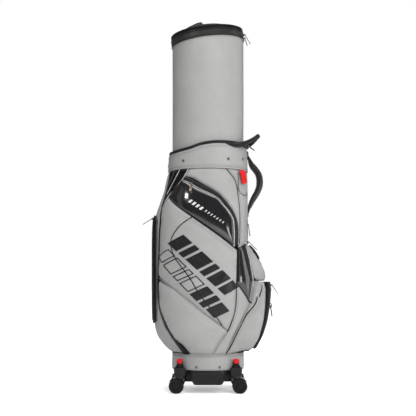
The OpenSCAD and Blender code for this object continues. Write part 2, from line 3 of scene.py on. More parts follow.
import bmesh
import bpy
import numpy as np
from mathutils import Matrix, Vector
from mathutils.bvhtree import BVHTree
from mathutils.geometry import delaunay_2d_cdt


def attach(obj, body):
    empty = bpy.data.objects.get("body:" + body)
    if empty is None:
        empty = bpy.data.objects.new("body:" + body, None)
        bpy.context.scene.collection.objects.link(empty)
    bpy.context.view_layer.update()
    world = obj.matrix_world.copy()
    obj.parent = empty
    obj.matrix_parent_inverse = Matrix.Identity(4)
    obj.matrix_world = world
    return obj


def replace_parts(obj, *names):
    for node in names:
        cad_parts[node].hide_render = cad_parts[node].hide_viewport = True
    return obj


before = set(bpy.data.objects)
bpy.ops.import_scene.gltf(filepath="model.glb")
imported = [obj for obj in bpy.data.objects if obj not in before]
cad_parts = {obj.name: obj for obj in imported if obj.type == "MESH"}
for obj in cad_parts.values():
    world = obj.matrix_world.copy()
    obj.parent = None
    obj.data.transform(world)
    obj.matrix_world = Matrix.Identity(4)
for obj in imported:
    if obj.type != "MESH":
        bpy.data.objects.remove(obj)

# A wheeled golf bag. Lengths are millimetres until piece() turns them into metres.
# A place on the bag is (direction in degrees about the axis, height). Direction -90 faces the camera.
MM = 0.001
ARC = 2.6            # millimetres of surface per degree, near enough for widths and spacings
COLLAR_LOW = 77
COLLAR_TOP = 130
COLLAR_R = 123
CUFF_LOW = 750
HOOD_R = 123
HOOD_TOP = 1190
HOOD_SLOPE = math.radians(6)
BAND_H = 22
DOOR_OUT = 12
POST_AT = (94.0, 105.0)       # a caster's post
AXLE_AT = (106.0, 105.0, 25.0)
TREAD_R = 24.85
TURN = np.arange(0, 360, 3.0)
AROUND = np.arange(-180, 180.1, 2.5)
LEATHER_THICK = 1.6
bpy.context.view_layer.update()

# ---- the bag's outline, as in the frame: height, reach -X, reach +X, half depth, roundness ----

OUTLINE = [
    (130, 124.6, 124.6, 124.6, 2.00),
    (138, 131, 126, 127, 2.00),
    (163, 155, 132, 133, 2.10),
    (187, 172, 138, 138, 2.20),
    (218, 180, 145, 143, 2.30),
    (300, 181, 158, 150, 2.35),
    (380, 181, 165, 152, 2.35),
    (450, 181, 148, 152, 2.35),
    (492, 181, 137, 151, 2.35),
    (560, 180, 134.6, 150, 2.35),
    (600, 177, 134.6, 148, 2.30),
    (645, 161, 134.6, 143, 2.20),
    (684, 149, 134.6, 138, 2.10),
    (752, 133.4, 134.4, 134, 2.00)]
# height, reach, half width
BALL = [
    (132, 130, 78.4), (138, 158, 84), (186, 186, 93), (238, 203, 98), (290, 212, 98), (352, 217, 96),
    (376, 213, 88)]
UPPER = [(382, 192, 58), (414, 188, 56), (459, 166, 52), (496, 143, 46)]


def unit(rows):
    """The rows, each at length one."""
    return rows / (np.linalg.norm(rows, axis=1)[:, None] + 1e-9)


def bell(reach, spread):
    """The weights of a bell curve over reach steps to either side."""
    weights = np.exp(-0.5 * (np.arange(-reach, reach + 1) / spread) ** 2)
    return weights / weights.sum()


def softened(table, spread=7):
    """The table as columns on a fine ladder of heights, with its corners rounded."""
    rows = np.array(table, float)
    z = np.arange(rows[0, 0], rows[-1, 0] + 1, 2.0)
    pad = 20
    columns = []
    for k in range(1, rows.shape[1]):
        column = np.interp(z, rows[:, 0], rows[:, k])
        before = 2 * column[0] - column[pad:0:-1]
        after = 2 * column[-1] - column[-2:-pad - 2:-1]
        columns.append(np.convolve(np.concatenate([before, column, after]), bell(pad, spread / 2), "valid"))
    return z, columns


OUTLINE_SOFT = softened(OUTLINE)
BALL_SOFT = softened(BALL)
UPPER_SOFT = softened(UPPER)


def at(soft, k, z):
    """Column k of a softened table at a height."""
    return np.interp(z, soft[0], soft[1][k])


def superround(a, rx, ry, p):
    """Reach of a rounded rectangle in a direction; p = 2 makes it an ellipse."""
    c = np.abs(np.cos(np.radians(a))) / rx
    s = np.abs(np.sin(np.radians(a))) / ry
    return (c ** p + s ** p) ** (-1 / p)


def bag_r(a, z):
    """Distance from the axis to the bag's wall; the next three do the same for what stands out from it."""
    a = np.asarray(a, float)
    rx = np.where(np.cos(np.radians(a)) < 0, at(OUTLINE_SOFT, 0, z), at(OUTLINE_SOFT, 1, z))
    return superround(a, rx, at(OUTLINE_SOFT, 2, z), at(OUTLINE_SOFT, 3, z))


def turned(a):
    """The direction as one between -180 and 180."""
    return (np.asarray(a, float) + 180) % 360 - 180


def ball_r(a, z):
    return np.maximum(bag_r(a, z) + 2, superround(a, at(BALL_SOFT, 0, z), at(BALL_SOFT, 1, z), 4.2))


def upper_r(a, z):
    return np.maximum(bag_r(a, z) + 2, superround(a, at(UPPER_SOFT, 0, z), at(UPPER_SOFT, 1, z), 3.4))


def door_r(a, z):
    return bag_r(a, z) + DOOR_OUT


def front(x, z):
    """Direction of the point of the near side that lies at x, seen from the front."""
    rx = float(at(OUTLINE_SOFT, 0 if x < 0 else 1, z))
    ry = float(at(OUTLINE_SOFT, 2, z))
    p = float(at(OUTLINE_SOFT, 3, z))
    t = min(abs(x) / rx, 0.9995)
    return math.degrees(math.atan2(-ry * (1 - t ** p) ** (1 / p), x))


def seen(*points):
    """Places of the near side, from points seen from the front as (x, height)."""
    return [(front(x, z), z) for x, z in points]


# ---- curves in the (direction, height) plane ----

def curve(points, per=8):
    """A smooth curve through the points."""
    p = np.array(points, float)
    p = np.vstack([2 * p[0] - p[1], p, 2 * p[-1] - p[-2]])
    out = []
    for i in range(1, len(p) - 2):
        t = np.linspace(0, 1, per, endpoint=False)[:, None]
        a, b, c, d = p[i - 1], p[i], p[i + 1], p[i + 2]
        out.append(0.5 * (2 * b + (c - a) * t + (2 * a - 5 * b + 4 * c - d) * t ** 2
                          + (3 * b - a - 3 * c + d) * t ** 3))
    return [tuple(q) for q in np.vstack(out + [p[-2:-1]])]


def between(route, low, high):
    """The stretch of a route that lies between two heights."""
    return [q for q in route if low <= q[1] <= high]


def flat(route):
    """A route in millimetres of surface."""
    q = np.array(route, float)
    return q * [ARC, 1]


def spaced(uv, step, closed=False):
    """Points of a line at equal steps."""
    if closed:
        uv = np.vstack([uv, uv[:1]])
    length = np.concatenate([[0], np.cumsum(np.linalg.norm(np.diff(uv, axis=0), axis=1))])
    n = max(2, int(round(length[-1] / step)))
    s = np.linspace(0, length[-1], n + 1)
    if closed:
        s = s[:-1]
    return np.column_stack([np.interp(s, length, uv[:, k]) for k in range(uv.shape[1])])


def beside(route, d):
    """The route moved sideways by d millimetres, to the left of its own direction."""
    uv = spaced(flat(route), 4)
    t = unit(np.gradient(uv, axis=0))
    uv = uv + d * np.column_stack([-t[:, 1], t[:, 0]])
    return [tuple(q) for q in uv / [ARC, 1]]


def mirrored(route):
    """The route on the far side."""
    return [(-a, z) for a, z in route]


def inside(q, loops):
    """Which points lie within the loops, holes left out."""
    odd = np.zeros(len(q), bool)
    for loop in loops:
        a, b = loop, np.roll(loop, -1, axis=0)
        for (x0, y0), (x1, y1) in zip(a, b):
            if y0 == y1:
                continue
            hit = (y0 > q[:, 1]) != (y1 > q[:, 1])
            odd ^= hit & (q[:, 0] < (x1 - x0) * (q[:, 1] - y0) / (y1 - y0) + x0)
    return odd


def border_distance(q, loops):
    """Each point's distance from the nearest loop."""
    best = np.full(len(q), 1e9)
    for loop in loops:
        a, b = loop, np.roll(loop, -1, axis=0)
        for p0, p1 in zip(a, b):
            d = p1 - p0
            t = np.clip(((q - p0) @ d) / max(d @ d, 1e-9), 0, 1)
            best = np.minimum(best, np.linalg.norm(q - p0 - t[:, None] * d, axis=1))
    return best


def filled(loops, step):
    """Triangles that fill the outline, less its holes: points, faces, distance from the border."""
    loops = [spaced(np.asarray(loop, float), step, closed=True) for loop in loops]
    low, high = loops[0].min(0), loops[0].max(0)
    rows = np.arange(low[1], high[1], step * 0.87)
    grid = [(x + (step / 2 if j % 2 else 0), y) for j, y in enumerate(rows)
            for x in np.arange(low[0], high[0] + step, step)]
    grid = np.array(grid)
    grid = grid[inside(grid, loops)]
    if len(grid):
        grid = grid[border_distance(grid, loops) > 0.6 * step]
    points = np.vstack(loops + ([grid] if len(grid) else []))
    edges, start = [], 0
    for loop in loops:
        n = len(loop)
        edges += [(start + i, start + (i + 1) % n) for i in range(n)]
        start += n
    verts, _, faces, *_ = delaunay_2d_cdt([Vector(p) for p in points], edges, [], 1, 1e-5)
    verts = np.array([tuple(v) for v in verts])
    faces = np.array([f for f in faces if len(f) == 3])
    middle = verts[faces].mean(1)
    faces = faces[inside(middle, loops)]
    return verts, faces.tolist(), border_distance(verts, loops)


# ---- pieces ----

def polar(a, r, z):
    """Points at directions a, r from the axis, at heights z."""
    a = np.radians(a)
    return np.column_stack(np.broadcast_arrays(r * np.cos(a), r * np.sin(a), z))


def piece(name, verts, faces, material, body="bag", smooth=True):
    """A mesh from points in millimetres, which rides on a body."""
    mesh = bpy.data.meshes.new(name)
    mesh.from_pydata((np.asarray(verts, float) * MM).tolist(), [], faces)
    mesh.materials.append(material)
    mesh.polygons.foreach_set("use_smooth", [smooth] * len(mesh.polygons))
    obj = bpy.data.objects.new(name, mesh)
    bpy.context.scene.collection.objects.link(obj)
    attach(obj, body)
    return obj


def outward(obj):
    """Turns a closed mesh's faces outwards."""
    work = bmesh.new()
    work.from_mesh(obj.data)
    bmesh.ops.recalc_face_normals(work, faces=work.faces)
    work.to_mesh(obj.data)
    work.free()
    return obj


def joined(parts):
    """Many small meshes as one list of points and faces."""
    verts, faces, n = [], [], 0
    for v, f in parts:
        verts.append(v)
        faces += [[i + n for i in face] for face in f]
        n += len(v)
    return np.vstack(verts), faces


def grid(rows, columns, ring=False, tube=False):
    """The four-cornered faces of a grid of points; ring joins its last row to its first, tube its columns."""
    return [[i * columns + k, i * columns + (k + 1) % columns, (i + 1) % rows * columns + (k + 1) % columns,
             (i + 1) % rows * columns + k]
            for i in range(rows if ring else rows - 1) for k in range(columns if tube else columns - 1)]


def prism(n):
    """The faces between two outlines of n points, and those outlines as its ends."""
    walls = [[i, (i + 1) % n, n + (i + 1) % n, n + i] for i in range(n)]
    return walls + [list(range(n))[::-1], list(range(n, 2 * n))]


def slab(outer, inner, rows, columns):
    """A closed slab between two grids of points."""
    quads = grid(rows, columns)
    n, last = rows * columns, rows - 1
    rim_points = list(range(columns - 1)) + [i * columns + columns - 1 for i in range(last)]
    rim_points += [last * columns + k for k in range(columns - 1, 0, -1)]
    rim_points += [i * columns for i in range(last, 0, -1)]
    faces = quads + [[i + n for i in face[::-1]] for face in quads]
    faces += [[a, a + n, b + n, b] for a, b in zip(rim_points, rim_points[1:] + rim_points[:1])]
    return np.vstack([outer, inner]), faces


def squared(values, power):
    """Sines or cosines pushed outwards, which turns a circle into a rounded square."""
    return np.sign(values) * np.abs(values) ** power


def loft(points, normals, wide, thick, sides=10, closed=False, power=2.0):
    """A solid along points: at each, an oval of half sizes wide (across) and thick (along the normal)."""
    p, nrm = np.asarray(points, float), np.asarray(normals, float)
    n = len(p)
    wide, thick = np.broadcast_to(wide, n), np.broadcast_to(thick, n)
    if closed:
        t = np.roll(p, -1, axis=0) - np.roll(p, 1, axis=0)
    else:
        t = np.gradient(p, axis=0)
    t = unit(t)
    side = unit(np.cross(t, nrm))
    up = np.cross(side, t)
    g = np.linspace(0, 2 * math.pi, sides, endpoint=False)
    c, s = squared(np.cos(g), 2 / power), squared(np.sin(g), 2 / power)
    across = side[:, None] * (wide[:, None] * c)[..., None]
    verts = (p[:, None] + across + up[:, None] * (thick[:, None] * s)[..., None]).reshape(-1, 3)
    faces = grid(n, sides, closed, True)
    if not closed:
        for ring, row in ((0, 0), (n - 1, 1)):
            verts = np.vstack([verts, p[ring]])
            tip = len(verts) - 1
            for k in range(sides):
                m = (k + 1) % sides
                face = [ring * sides + k, ring * sides + m, tip]
                faces.append(face if row else face[::-1])
    return verts, faces


def hoop(radius, z, half, where=None, turn=TURN):
    """A round cord about the axis; where places its points."""
    q = polar(turn, radius, z)
    return loft(where(q) if where else q, polar(turn, 1.0, 0.0), half, half, 8, True)


def stitch(points, normal, half):
    """One short thread through the points."""
    return loft(points, [normal] * len(points), half, half, 6)


def box_mesh(centre, x, y, z, half):
    """A box with half sizes along three directions."""
    signs = np.array([(i, j, k) for i in (-1, 1) for j in (-1, 1) for k in (-1, 1)])
    verts = np.asarray(centre) + (signs * half) @ np.array([x, y, z], float)
    return verts, [[0, 1, 3, 2], [4, 6, 7, 5], [0, 4, 5, 1], [2, 3, 7, 6], [0, 2, 6, 4], [1, 5, 7, 3]]


def points_of(mesh):
    """The mesh's points as rows."""
    co = np.empty(len(mesh.vertices) * 3, np.float32)
    mesh.vertices.foreach_get("co", co)
    return co.reshape(-1, 3)


def far_copy(obj):
    """The same piece on the far side."""
    mesh = obj.data.copy()
    co = points_of(mesh)
    co[:, 1] *= -1
    mesh.vertices.foreach_set("co", co.ravel())
    mesh.flip_normals()
    copy = bpy.data.objects.new(obj.name.replace("_near", "") + "_far", mesh)
    bpy.context.scene.collection.objects.link(copy)
    for m in obj.modifiers:
        if m.type == "SOLIDIFY":
            thicken(copy, m.thickness / MM)
    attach(copy, "bag")
    return copy


def thicken(obj, thick):
    solid = obj.modifiers.new("thickness", "SOLIDIFY")
    solid.thickness = thick * MM
    solid.offset = -1
    solid.use_even_offset = False
    return obj


to_swell = []


def panel(name, outline, material, surface=bag_r, crown=5, edge=24, lift=-2.5, step=5, cap=3.0, slack=0.0,
          shape=None):
    """A stuffed leather panel: its border lies on the seam and its middle stands up from it.

    It starts lift millimetres over the surface and rises by crown within edge of its border. In the
    simulation a point moves by cap at most, and slack is the share of spare cloth.
    """
    verts, faces, d = filled([flat(outline)], step)
    a, z = verts[:, 0] / ARC, verts[:, 1]
    rise = lift + crown * np.sqrt(1 - (1 - np.clip(d / edge, 0, 1)) ** 2)
    if shape is not None:
        rise = rise + shape(a, z) * np.clip(d / 14, 0, 1)
    obj = piece(name, polar(a, surface(a, z) + rise, z), faces, material)
    middle = obj.data.polygons[len(obj.data.polygons) // 2]
    if middle.normal.x * middle.center.x + middle.normal.y * middle.center.y < 0:
        obj.data.flip_normals()
    if crown >= 2:
        obj["padding"] = 0.5
    if cap > 0:
        pins = obj.vertex_groups.new(name="pins")
        for i in np.nonzero(d < 0.5 * step)[0]:
            pins.add([int(i)], 1.0, "REPLACE")
        to_swell.append((obj, cap, slack))
    thicken(obj, LEATHER_THICK)
    return obj


def swell(pressure=3.0, frames=20):
    """Blows the panels up as pinned cloth, limits how far each point moves, and applies the result."""
    scene = bpy.context.scene
    scene.frame_start, scene.frame_end = 1, frames
    for obj, _, slack in to_swell:
        cloth = obj.modifiers.new("cloth", "CLOTH")
        bpy.context.view_layer.objects.active = obj
        while obj.modifiers[0] != cloth:
            bpy.ops.object.modifier_move_up(modifier="cloth")
        s = cloth.settings
        s.quality = 4
        s.mass = 0.25
        s.tension_stiffness = s.compression_stiffness = 14
        s.shear_stiffness = 5
        s.bending_stiffness = 0.35
        s.use_pressure = True
        s.uniform_pressure_force = pressure
        s.vertex_group_mass = "pins"
        s.shrink_min = -slack
        s.effector_weights.gravity = 0
        cloth.point_cache.frame_start, cloth.point_cache.frame_end = 1, frames
    for f in range(1, frames + 1):
        scene.frame_set(f)
    graph = bpy.context.evaluated_depsgraph_get()
    for obj, _, _ in to_swell:
        for m in obj.modifiers:
            m.show_viewport = m.type == "CLOTH"
    graph.update()
    moved = [points_of(obj.evaluated_get(graph).data) for obj, _, _ in to_swell]
    for (obj, cap, _), co in zip(to_swell, moved):
        start = points_of(obj.data)
        step = co - start
        size = np.linalg.norm(step, axis=1)[:, None] + 1e-9
        limit = cap * MM
        step *= limit * np.tanh(size / limit) / size
        obj.data.vertices.foreach_set("co", (start + step).ravel())
        obj.modifiers.remove(obj.modifiers["cloth"])
        for m in obj.modifiers:
            m.show_viewport = True
        obj.data.update()
    scene.frame_set(1)


# ---- materials ----


def node(tree, kind, inputs=None, **settings):
    """A shader node; inputs maps a socket to a value or to another node's output."""
    made = tree.nodes.new("ShaderNode" + kind)
    for key, value in settings.items():
        setattr(made, key, value)
    for key, value in (inputs or {}).items():
        if isinstance(value, bpy.types.NodeSocket):
            tree.links.new(value, made.inputs[key])
        else:
            made.inputs[key].default_value = value
    return made


def shader(name, slot, **values):
    """A material with its Principled node's plain values, its tree, that node and the object coordinates."""
    mat = bpy.data.materials.new("look_" + name)
    mat.use_nodes = True
    tree = mat.node_tree
    bsdf = tree.nodes["Principled BSDF"]
    for key, value in values.items():
        bsdf.inputs[key.replace("_", " ")].default_value = value
    place = tree.nodes.new("ShaderNodeTexCoord").outputs["Object"]
    return mat, tree, bsdf, place


def shade(c, k=1.0):
    """The colour times k, with its alpha."""
    return (c[0] * k, c[1] * k, c[2] * k, 1)


def ramp(tree, source, low, high, a, b):
    """Maps source from low..high to a..b."""
    return node(tree, "MapRange", {"Value": source, "From Min": low, "From Max": high,
                                   "To Min": a, "To Max": b}).outputs["Result"]


def two_tone(tree, source, first, second, low=0.35, high=0.65):
    """Blends two colours by source, between low and high."""
    mix = node(tree, "MapRange", {"Value": source, "From Min": low, "From Max": high}).outputs["Result"]
    blend = node(tree, "Mix", data_type="RGBA")
    tree.links.new(mix, blend.inputs["Factor"])
    blend.inputs["A"].default_value = first
    blend.inputs["B"].default_value = second
    return blend.outputs["Result"]


def dress(tree, bsdf, colour, rough):
    """Links a colour and a roughness to the shader."""
    tree.links.new(colour, bsdf.inputs["Base Color"])
    tree.links.new(rough, bsdf.inputs["Roughness"])


def bump(tree, bsdf, layers):
    """Adds bump layers, each a height, its strength and its depth in metres."""
    normal = None
    for height, strength, depth in layers:
        b = node(tree, "Bump", {"Height": height, "Strength": strength, "Distance": depth})
        if normal is not None:
            tree.links.new(normal, b.inputs["Normal"])
        normal = b.outputs["Normal"]
    tree.links.new(normal, bsdf.inputs["Normal"])


def noise(tree, place, scale, detail=3, rough=0.5, **more):
    return node(tree, "TexNoise", {"Vector": place, "Scale": scale, "Detail": detail, "Roughness": rough},
                **more).outputs["Fac"]


def pebbles(tree, place, scale):
    """The cells of leather's grain."""
    cells = node(tree, "TexVoronoi", {"Vector": place, "Scale": scale}, feature="SMOOTH_F1")
    return cells.outputs["Distance"]


def leather(name, slot, colour, rough=0.52, grain=620, grain_bump=0.45, crease=0.25, spec=0.35):
    """Pebbled synthetic leather: small cells with fine pores, soft creases and slightly worn colour."""
    mat, tree, bsdf, place = shader(name, slot, Specular_IOR_Level=spec)
    cells = pebbles(tree, place, grain)
    pores = noise(tree, place, grain * 3.2, 2)
    cloudy = noise(tree, place, 9, 4, 0.6)
    wrinkle = noise(tree, place, 46, 5, 0.62, noise_type="RIDGED_MULTIFRACTAL")
    worn = two_tone(tree, cloudy, shade(colour, 0.94), shade(colour, 1.05))
    pebble = ramp(tree, cells, 0.25, 0.75, 1.0, 0.86)
    tint = node(tree, "Mix", data_type="RGBA", blend_type="MULTIPLY")
    tint.inputs["Factor"].default_value = 1.0
    tree.links.new(worn, tint.inputs["A"])
    tree.links.new(pebble, tint.inputs["B"])
    dress(tree, bsdf, tint.outputs["Result"],
          ramp(tree, cloudy, 0.3, 0.7, rough - 0.06, rough + 0.07))
    bump(tree, bsdf, [(cells, grain_bump, -0.0003), (pores, 0.25, 0.0001), (wrinkle, crease, 0.0006)])
    return mat


def patent(name, slot, colour, rough=0.1, dents=0.1):
    """Patent leather: a glossy coat over a dark base, with soft dents and hair scratches."""
    mat, tree, bsdf, place = shader(name, slot, Specular_IOR_Level=0.5, Coat_Weight=1.0, Coat_Roughness=0.05)
    dent = noise(tree, place, 26, 2, 0.4)
    fine = noise(tree, place, 900, 3, 0.6)
    scuff = noise(tree, place, 160, 6, 0.75)
    dress(tree, bsdf, two_tone(tree, scuff, shade(colour, 0.8), shade(colour, 1.5)),
          ramp(tree, scuff, 0.3, 0.75, rough, rough + 0.14))
    bump(tree, bsdf, [(dent, dents, 0.0012), (fine, 0.12, 0.0001)])
    return mat


def plastic(name, slot, colour, rough=0.42, grain=1300, coat=0.0):
    """Moulded plastic with a fine spark-eroded texture and slightly polished patches."""
    mat, tree, bsdf, place = shader(name, slot, Specular_IOR_Level=0.26, Coat_Weight=coat,
                                    Coat_Roughness=0.12)
    grit = noise(tree, place, grain, 4, 0.65)
    patches = noise(tree, place, 24, 4, 0.6)
    dress(tree, bsdf, two_tone(tree, patches, shade(colour, 0.82), shade(colour, 1.2)),
          ramp(tree, patches, 0.3, 0.7, rough - 0.07, rough + 0.1))
    bump(tree, bsdf, [(grit, 0.3, 0.0002)])
    return mat


def metal(name, slot, colour, rough=0.3):
    """Dark bronze plating, rubbed brighter in spots, with fine brush marks."""
    mat, tree, bsdf, place = shader(name, slot, Metallic=1.0)
    stretch = node(tree, "Mapping", {"Vector": place, "Scale": (1, 1, 0.08)}).outputs["Vector"]
    brush = noise(tree, stretch, 2200, 2)
    rub = noise(tree, place, 130, 5, 0.7)
    dress(tree, bsdf, two_tone(tree, rub, shade(colour, 0.75), shade(colour, 1.7), 0.4, 0.7),
          ramp(tree, rub, 0.3, 0.7, rough + 0.12, rough - 0.08))
    bump(tree, bsdf, [(brush, 0.2, 0.0001)])
    return mat


def woven(name, slot, colour, pitch=1100, rough=0.8, gap=0.35, sheen=0.3):
    """Cloth of crossed ribs, wide enough to read as weave close up."""
    mat, tree, bsdf, place = shader(name, slot, Specular_IOR_Level=0.2, Sheen_Weight=sheen,
                                    Sheen_Roughness=0.5)
    ribs = []
    for axis in ("X", "Z"):
        ribs.append(node(tree, "TexWave", {"Vector": place, "Scale": pitch / 6.28, "Distortion": 0.6,
                                           "Detail": 1, "Detail Scale": 2},
                         bands_direction=axis).outputs["Fac"])
    height = node(tree, "Math", {0: ribs[0], 1: ribs[1]}, operation="MAXIMUM").outputs[0]
    fuzz = noise(tree, place, 420, 4, 0.7)
    thread = two_tone(tree, height, shade(colour, 1 - gap), shade(colour, 1.15), 0.2, 0.9)
    dress(tree, bsdf, thread,
          ramp(tree, fuzz, 0.3, 0.7, rough - 0.06, rough + 0.1))
    bump(tree, bsdf, [(height, 0.6, 0.0003), (fuzz, 0.3, 0.0002)])
    return mat


def netting(name, slot, colour):
    """Spacer mesh: round holes in staggered rows over a darker backing."""
    mat, tree, bsdf, place = shader(name, slot, Specular_IOR_Level=0.25, Sheen_Weight=0.2)
    holes = node(tree, "TexVoronoi", {"Vector": place, "Scale": 330, "Randomness": 0.15}).outputs["Distance"]
    fuzz = noise(tree, place, 700, 3, 0.6)
    dress(tree, bsdf, two_tone(tree, holes, shade(colour, 0.2), shade(colour, 1.0), 0.28, 0.45),
          ramp(tree, fuzz, 0.3, 0.7, 0.65, 0.85))
    bump(tree, bsdf, [(holes, 0.8, 0.0006), (fuzz, 0.3, 0.0001)])
    return mat


def printed(name, slot, colour):
    """Thick flexible print: smooth ink that follows the leather's grain."""
    mat, tree, bsdf, place = shader(name, slot, Specular_IOR_Level=0.22, Coat_Weight=0.05, Coat_Roughness=0.3)
    cells = pebbles(tree, place, 620)
    patches = noise(tree, place, 60, 4, 0.6)
    dress(tree, bsdf, two_tone(tree, patches, shade(colour, 0.85), shade(colour, 1.15)),
          ramp(tree, patches, 0.3, 0.7, 0.28, 0.42))
    bump(tree, bsdf, [(cells, 0.2, -0.0002)])
    return mat


GREY = (0.30, 0.30, 0.296)
BLACK = (0.006, 0.006, 0.0065)
grey = leather("grey_pu", "grey_leather", GREY)
grey_smooth = leather("grey_pu_smooth", "grey_leather", GREY, 0.5, 900, 0.25, 0.12)
grey_thread = woven("grey_thread", "grey_leather", (0.12, 0.12, 0.118), 2400)
pale_thread = woven("pale_thread", "grey_leather", (0.62, 0.62, 0.61), 2400)
pale_piping = leather("pale_piping", "grey_leather", (0.50, 0.50, 0.49), 0.4, 900, 0.2, 0.1)
gloss = patent("black_patent", "black_leather", (0.006, 0.006, 0.007))
black = leather("black_pu", "black_leather", BLACK, 0.42, 700, 0.4, 0.2, 0.14)
# A lighter copy of the black leather for the hood band and the carry handle: its raised base colour is
# painted sheen.
painted_sheen_black = leather("black_satin", "black_leather", (0.022, 0.0215, 0.0205), 0.36, 800, 0.3, 0.25, 0.4)
black_piping = leather("black_piping", "black_leather", BLACK, 0.36, 1100, 0.2, 0.1, 0.22)
brown_piping = leather("brown_piping", "black_leather", (0.075, 0.058, 0.048), 0.45, 1000, 0.2, 0.1)
black_thread = woven("black_thread", "black_leather", (0.02, 0.02, 0.021), 2400)
tape = woven("zip_tape", "zip_tape", (0.014, 0.014, 0.015), 1500)
teeth = plastic("zip_teeth", "zip_tape", (0.010, 0.010, 0.010), 0.3, 2500, 0.2)
mesh_cloth = netting("spacer_mesh", "black_leather", (0.035, 0.033, 0.032))
moulded = plastic("black_moulded", "black_plastic", (0.010, 0.010, 0.0105))
socket = plastic("caster_moulded", "black_plastic", (0.008, 0.008, 0.0085), 0.34, 1500, 0.1)
rubber = plastic("wheel_tread", "wheel_rubber", (0.008, 0.008, 0.0085), 0.5, 800)
red_gloss = plastic("red_moulded", "red_plastic", (0.50, 0.003, 0.006), 0.3, 1800, 0.05)
red_web = woven("red_web", "red_webbing", (0.55, 0.012, 0.014), 900, 0.8, 0.3, 0.0)
bronze = metal("bronze", "gunmetal", (0.20, 0.155, 0.122))
board = plastic("tube_board", "tube_board", (0.05, 0.05, 0.054), 0.7, 500)
ink = printed("black_print", "black_leather", (0.012, 0.012, 0.013))
white_ink = printed("white_print", "grey_leather", (0.55, 0.55, 0.54))
pale_ink = printed("pale_print", "grey_leather", (0.42, 0.42, 0.41))

# ---- seams of the near side ----

LEFT_SEAM = curve(seen(
    (-130, 751), (-143, 690), (-156, 640), (-161, 604), (-164, 564), (-167, 514), (-168.5, 447), (-169, 345),
    (-167, 295), (-160, 261), (-147, 231), (-127, 195), (-104, 164), (-80, 131)))
MESH_EDGE = seen((-64, 751), (-81, 722), (-90, 710), (-134, 662), (-148, 643), (-158, 622))
POCKET_TOP = curve(seen(
    (-85, 712), (-60, 700), (-30, 681), (26, 654), (51, 628), (74, 600), (85, 577), (88, 538), (88, 489)))
POCKET_FOOT = seen((-134, 660), (-26, 573), (88, 488))
ZIP_OUTER = curve(seen(
    (-79, 723), (-50, 715), (-15, 694), (28, 669), (54, 646), (77, 617), (91, 588), (99, 558), (102, 533),
    (102, 492)))
PIPING_1 = curve(seen((99, 492), (98, 456), (96, 380), (94, 307), (89, 269), (76, 232), (65, 207)))
LOWER_SEAM = seen((65, 207), (36, 167), (16, 131))
PIPING_2 = curve(seen((142, 296), (120, 258), (93, 206), (70, 156), (58, 131)))
DIAGONAL = seen((-166, 388), (-119, 352), (-80, 320), (-10, 266), (66, 209))
STRIP_LEFT = curve(seen((60, 751), (77, 731), (94, 706), (102, 663), (108, 596), (107, 497)))
STRIP_RIGHT = curve([(-12, 751), (-12.5, 711), (-15, 669), (-22, 600), (-28, 507)])
WEDGE_RIGHT = curve([(-24.5, 497), (-21, 454), (-20.8, 417), (-22, 380), (-25.5, 337), (-28.8, 296)])
BALL_EDGE = curve([(-64, 131), (-57, 160), (-50, 205), (-39.5, 257), (-31, 298), (-28, 338), (-24, 366)])
CURVED_LINE = curve(seen(
    (-50, 588), (-83, 564), (-103, 542), (-116, 520), (-120, 500), (-117, 482), (-109, 456), (-90, 428),
    (-57, 383), (-30, 336), (0, 295), (23, 262), (47, 227)))
V_LEFT = seen((97, 366), (142, 296))
BALL_OUTER = BALL_EDGE + [(-23.5, 374)]


def ripples(angle, pitch, height, seed):
    """Soft folds that run across the given direction, as a height over the surface."""
    phase = np.random.default_rng(seed).uniform(0, 6.28, 4)
    c, s = math.cos(math.radians(angle)), math.sin(math.radians(angle))

    def fold(a, z):
        u = (np.asarray(a) * ARC * c + np.asarray(z) * s) * 6.28 / pitch
        v = (np.asarray(z) * c - np.asarray(a) * ARC * s) * 6.28 / (4.3 * pitch)
        return height * (np.sin(u + 1.3 * np.sin(v + phase[0]) + phase[1])
                         * (0.6 + 0.4 * np.sin(1.7 * v + phase[2])) + 0.4 * np.sin(2.3 * u + v + phase[3]))
    return fold


def side_panels():
    """The leather panels of the near side, border to border."""
    shoulder = beside(WEDGE_RIGHT, -9)
    made = [
        panel("side_panel_near", seen((-158, 620), (-149, 640), (-134, 657), (88, 485), (98, 478))
              + between(PIPING_1, 212, 477) + DIAGONAL[::-1][:-1] + between(LEFT_SEAM, 388, 618)[::-1],
              grey, crown=7, edge=40, cap=3, slack=0.004, shape=ripples(62, 95, 0.35, 3)),
        panel("lower_side_panel_near", DIAGONAL[1:] + LOWER_SEAM + seen((-60, 131), (-86, 162), (-101, 172))
              + between(LEFT_SEAM, 175, 386)[::-1],
              grey, crown=6.5, edge=34, cap=3, slack=0.006, shape=ripples(35, 80, 0.5, 5)),
        panel("top_panel_near", seen((-62, 751)) + ZIP_OUTER + seen((106, 496)) + STRIP_LEFT[::-1],
              grey_smooth, crown=5, cap=2),
        panel("mesh_panel_near", MESH_EDGE[::-1] + between(LEFT_SEAM, 622, 751)[::-1],
              mesh_cloth, crown=2.5, edge=14, cap=1.5),
        panel("patent_pocket_near", seen((-134, 660), (88, 489)) + POCKET_TOP[::-1],
              gloss, crown=9, edge=40, cap=1.2, step=4, lift=-1.5),
        panel("v_panel_near", V_LEFT + PIPING_2[1:] + LOWER_SEAM[::-1] + between(PIPING_1, 208, 364)[::-1],
              grey, crown=4.5, edge=18, cap=2, slack=0.008),
        panel("wedge_near", seen((101, 491), (124, 504)) + shoulder[2:] + seen((97, 366))
              + between(PIPING_1, 368, 490)[::-1],
              gloss, crown=7, edge=26, cap=0.8, step=4),
        panel("wedge_edge_near", shoulder + WEDGE_RIGHT[::-1],
              grey_smooth, crown=2.2, edge=6, lift=-1, cap=0, step=4),
        panel("umbrella_strip_near", STRIP_LEFT + seen((105, 493)) + STRIP_RIGHT[::-1],
              grey_smooth, crown=5, edge=16, cap=1.5)]
    return {obj.name: obj for obj in made}


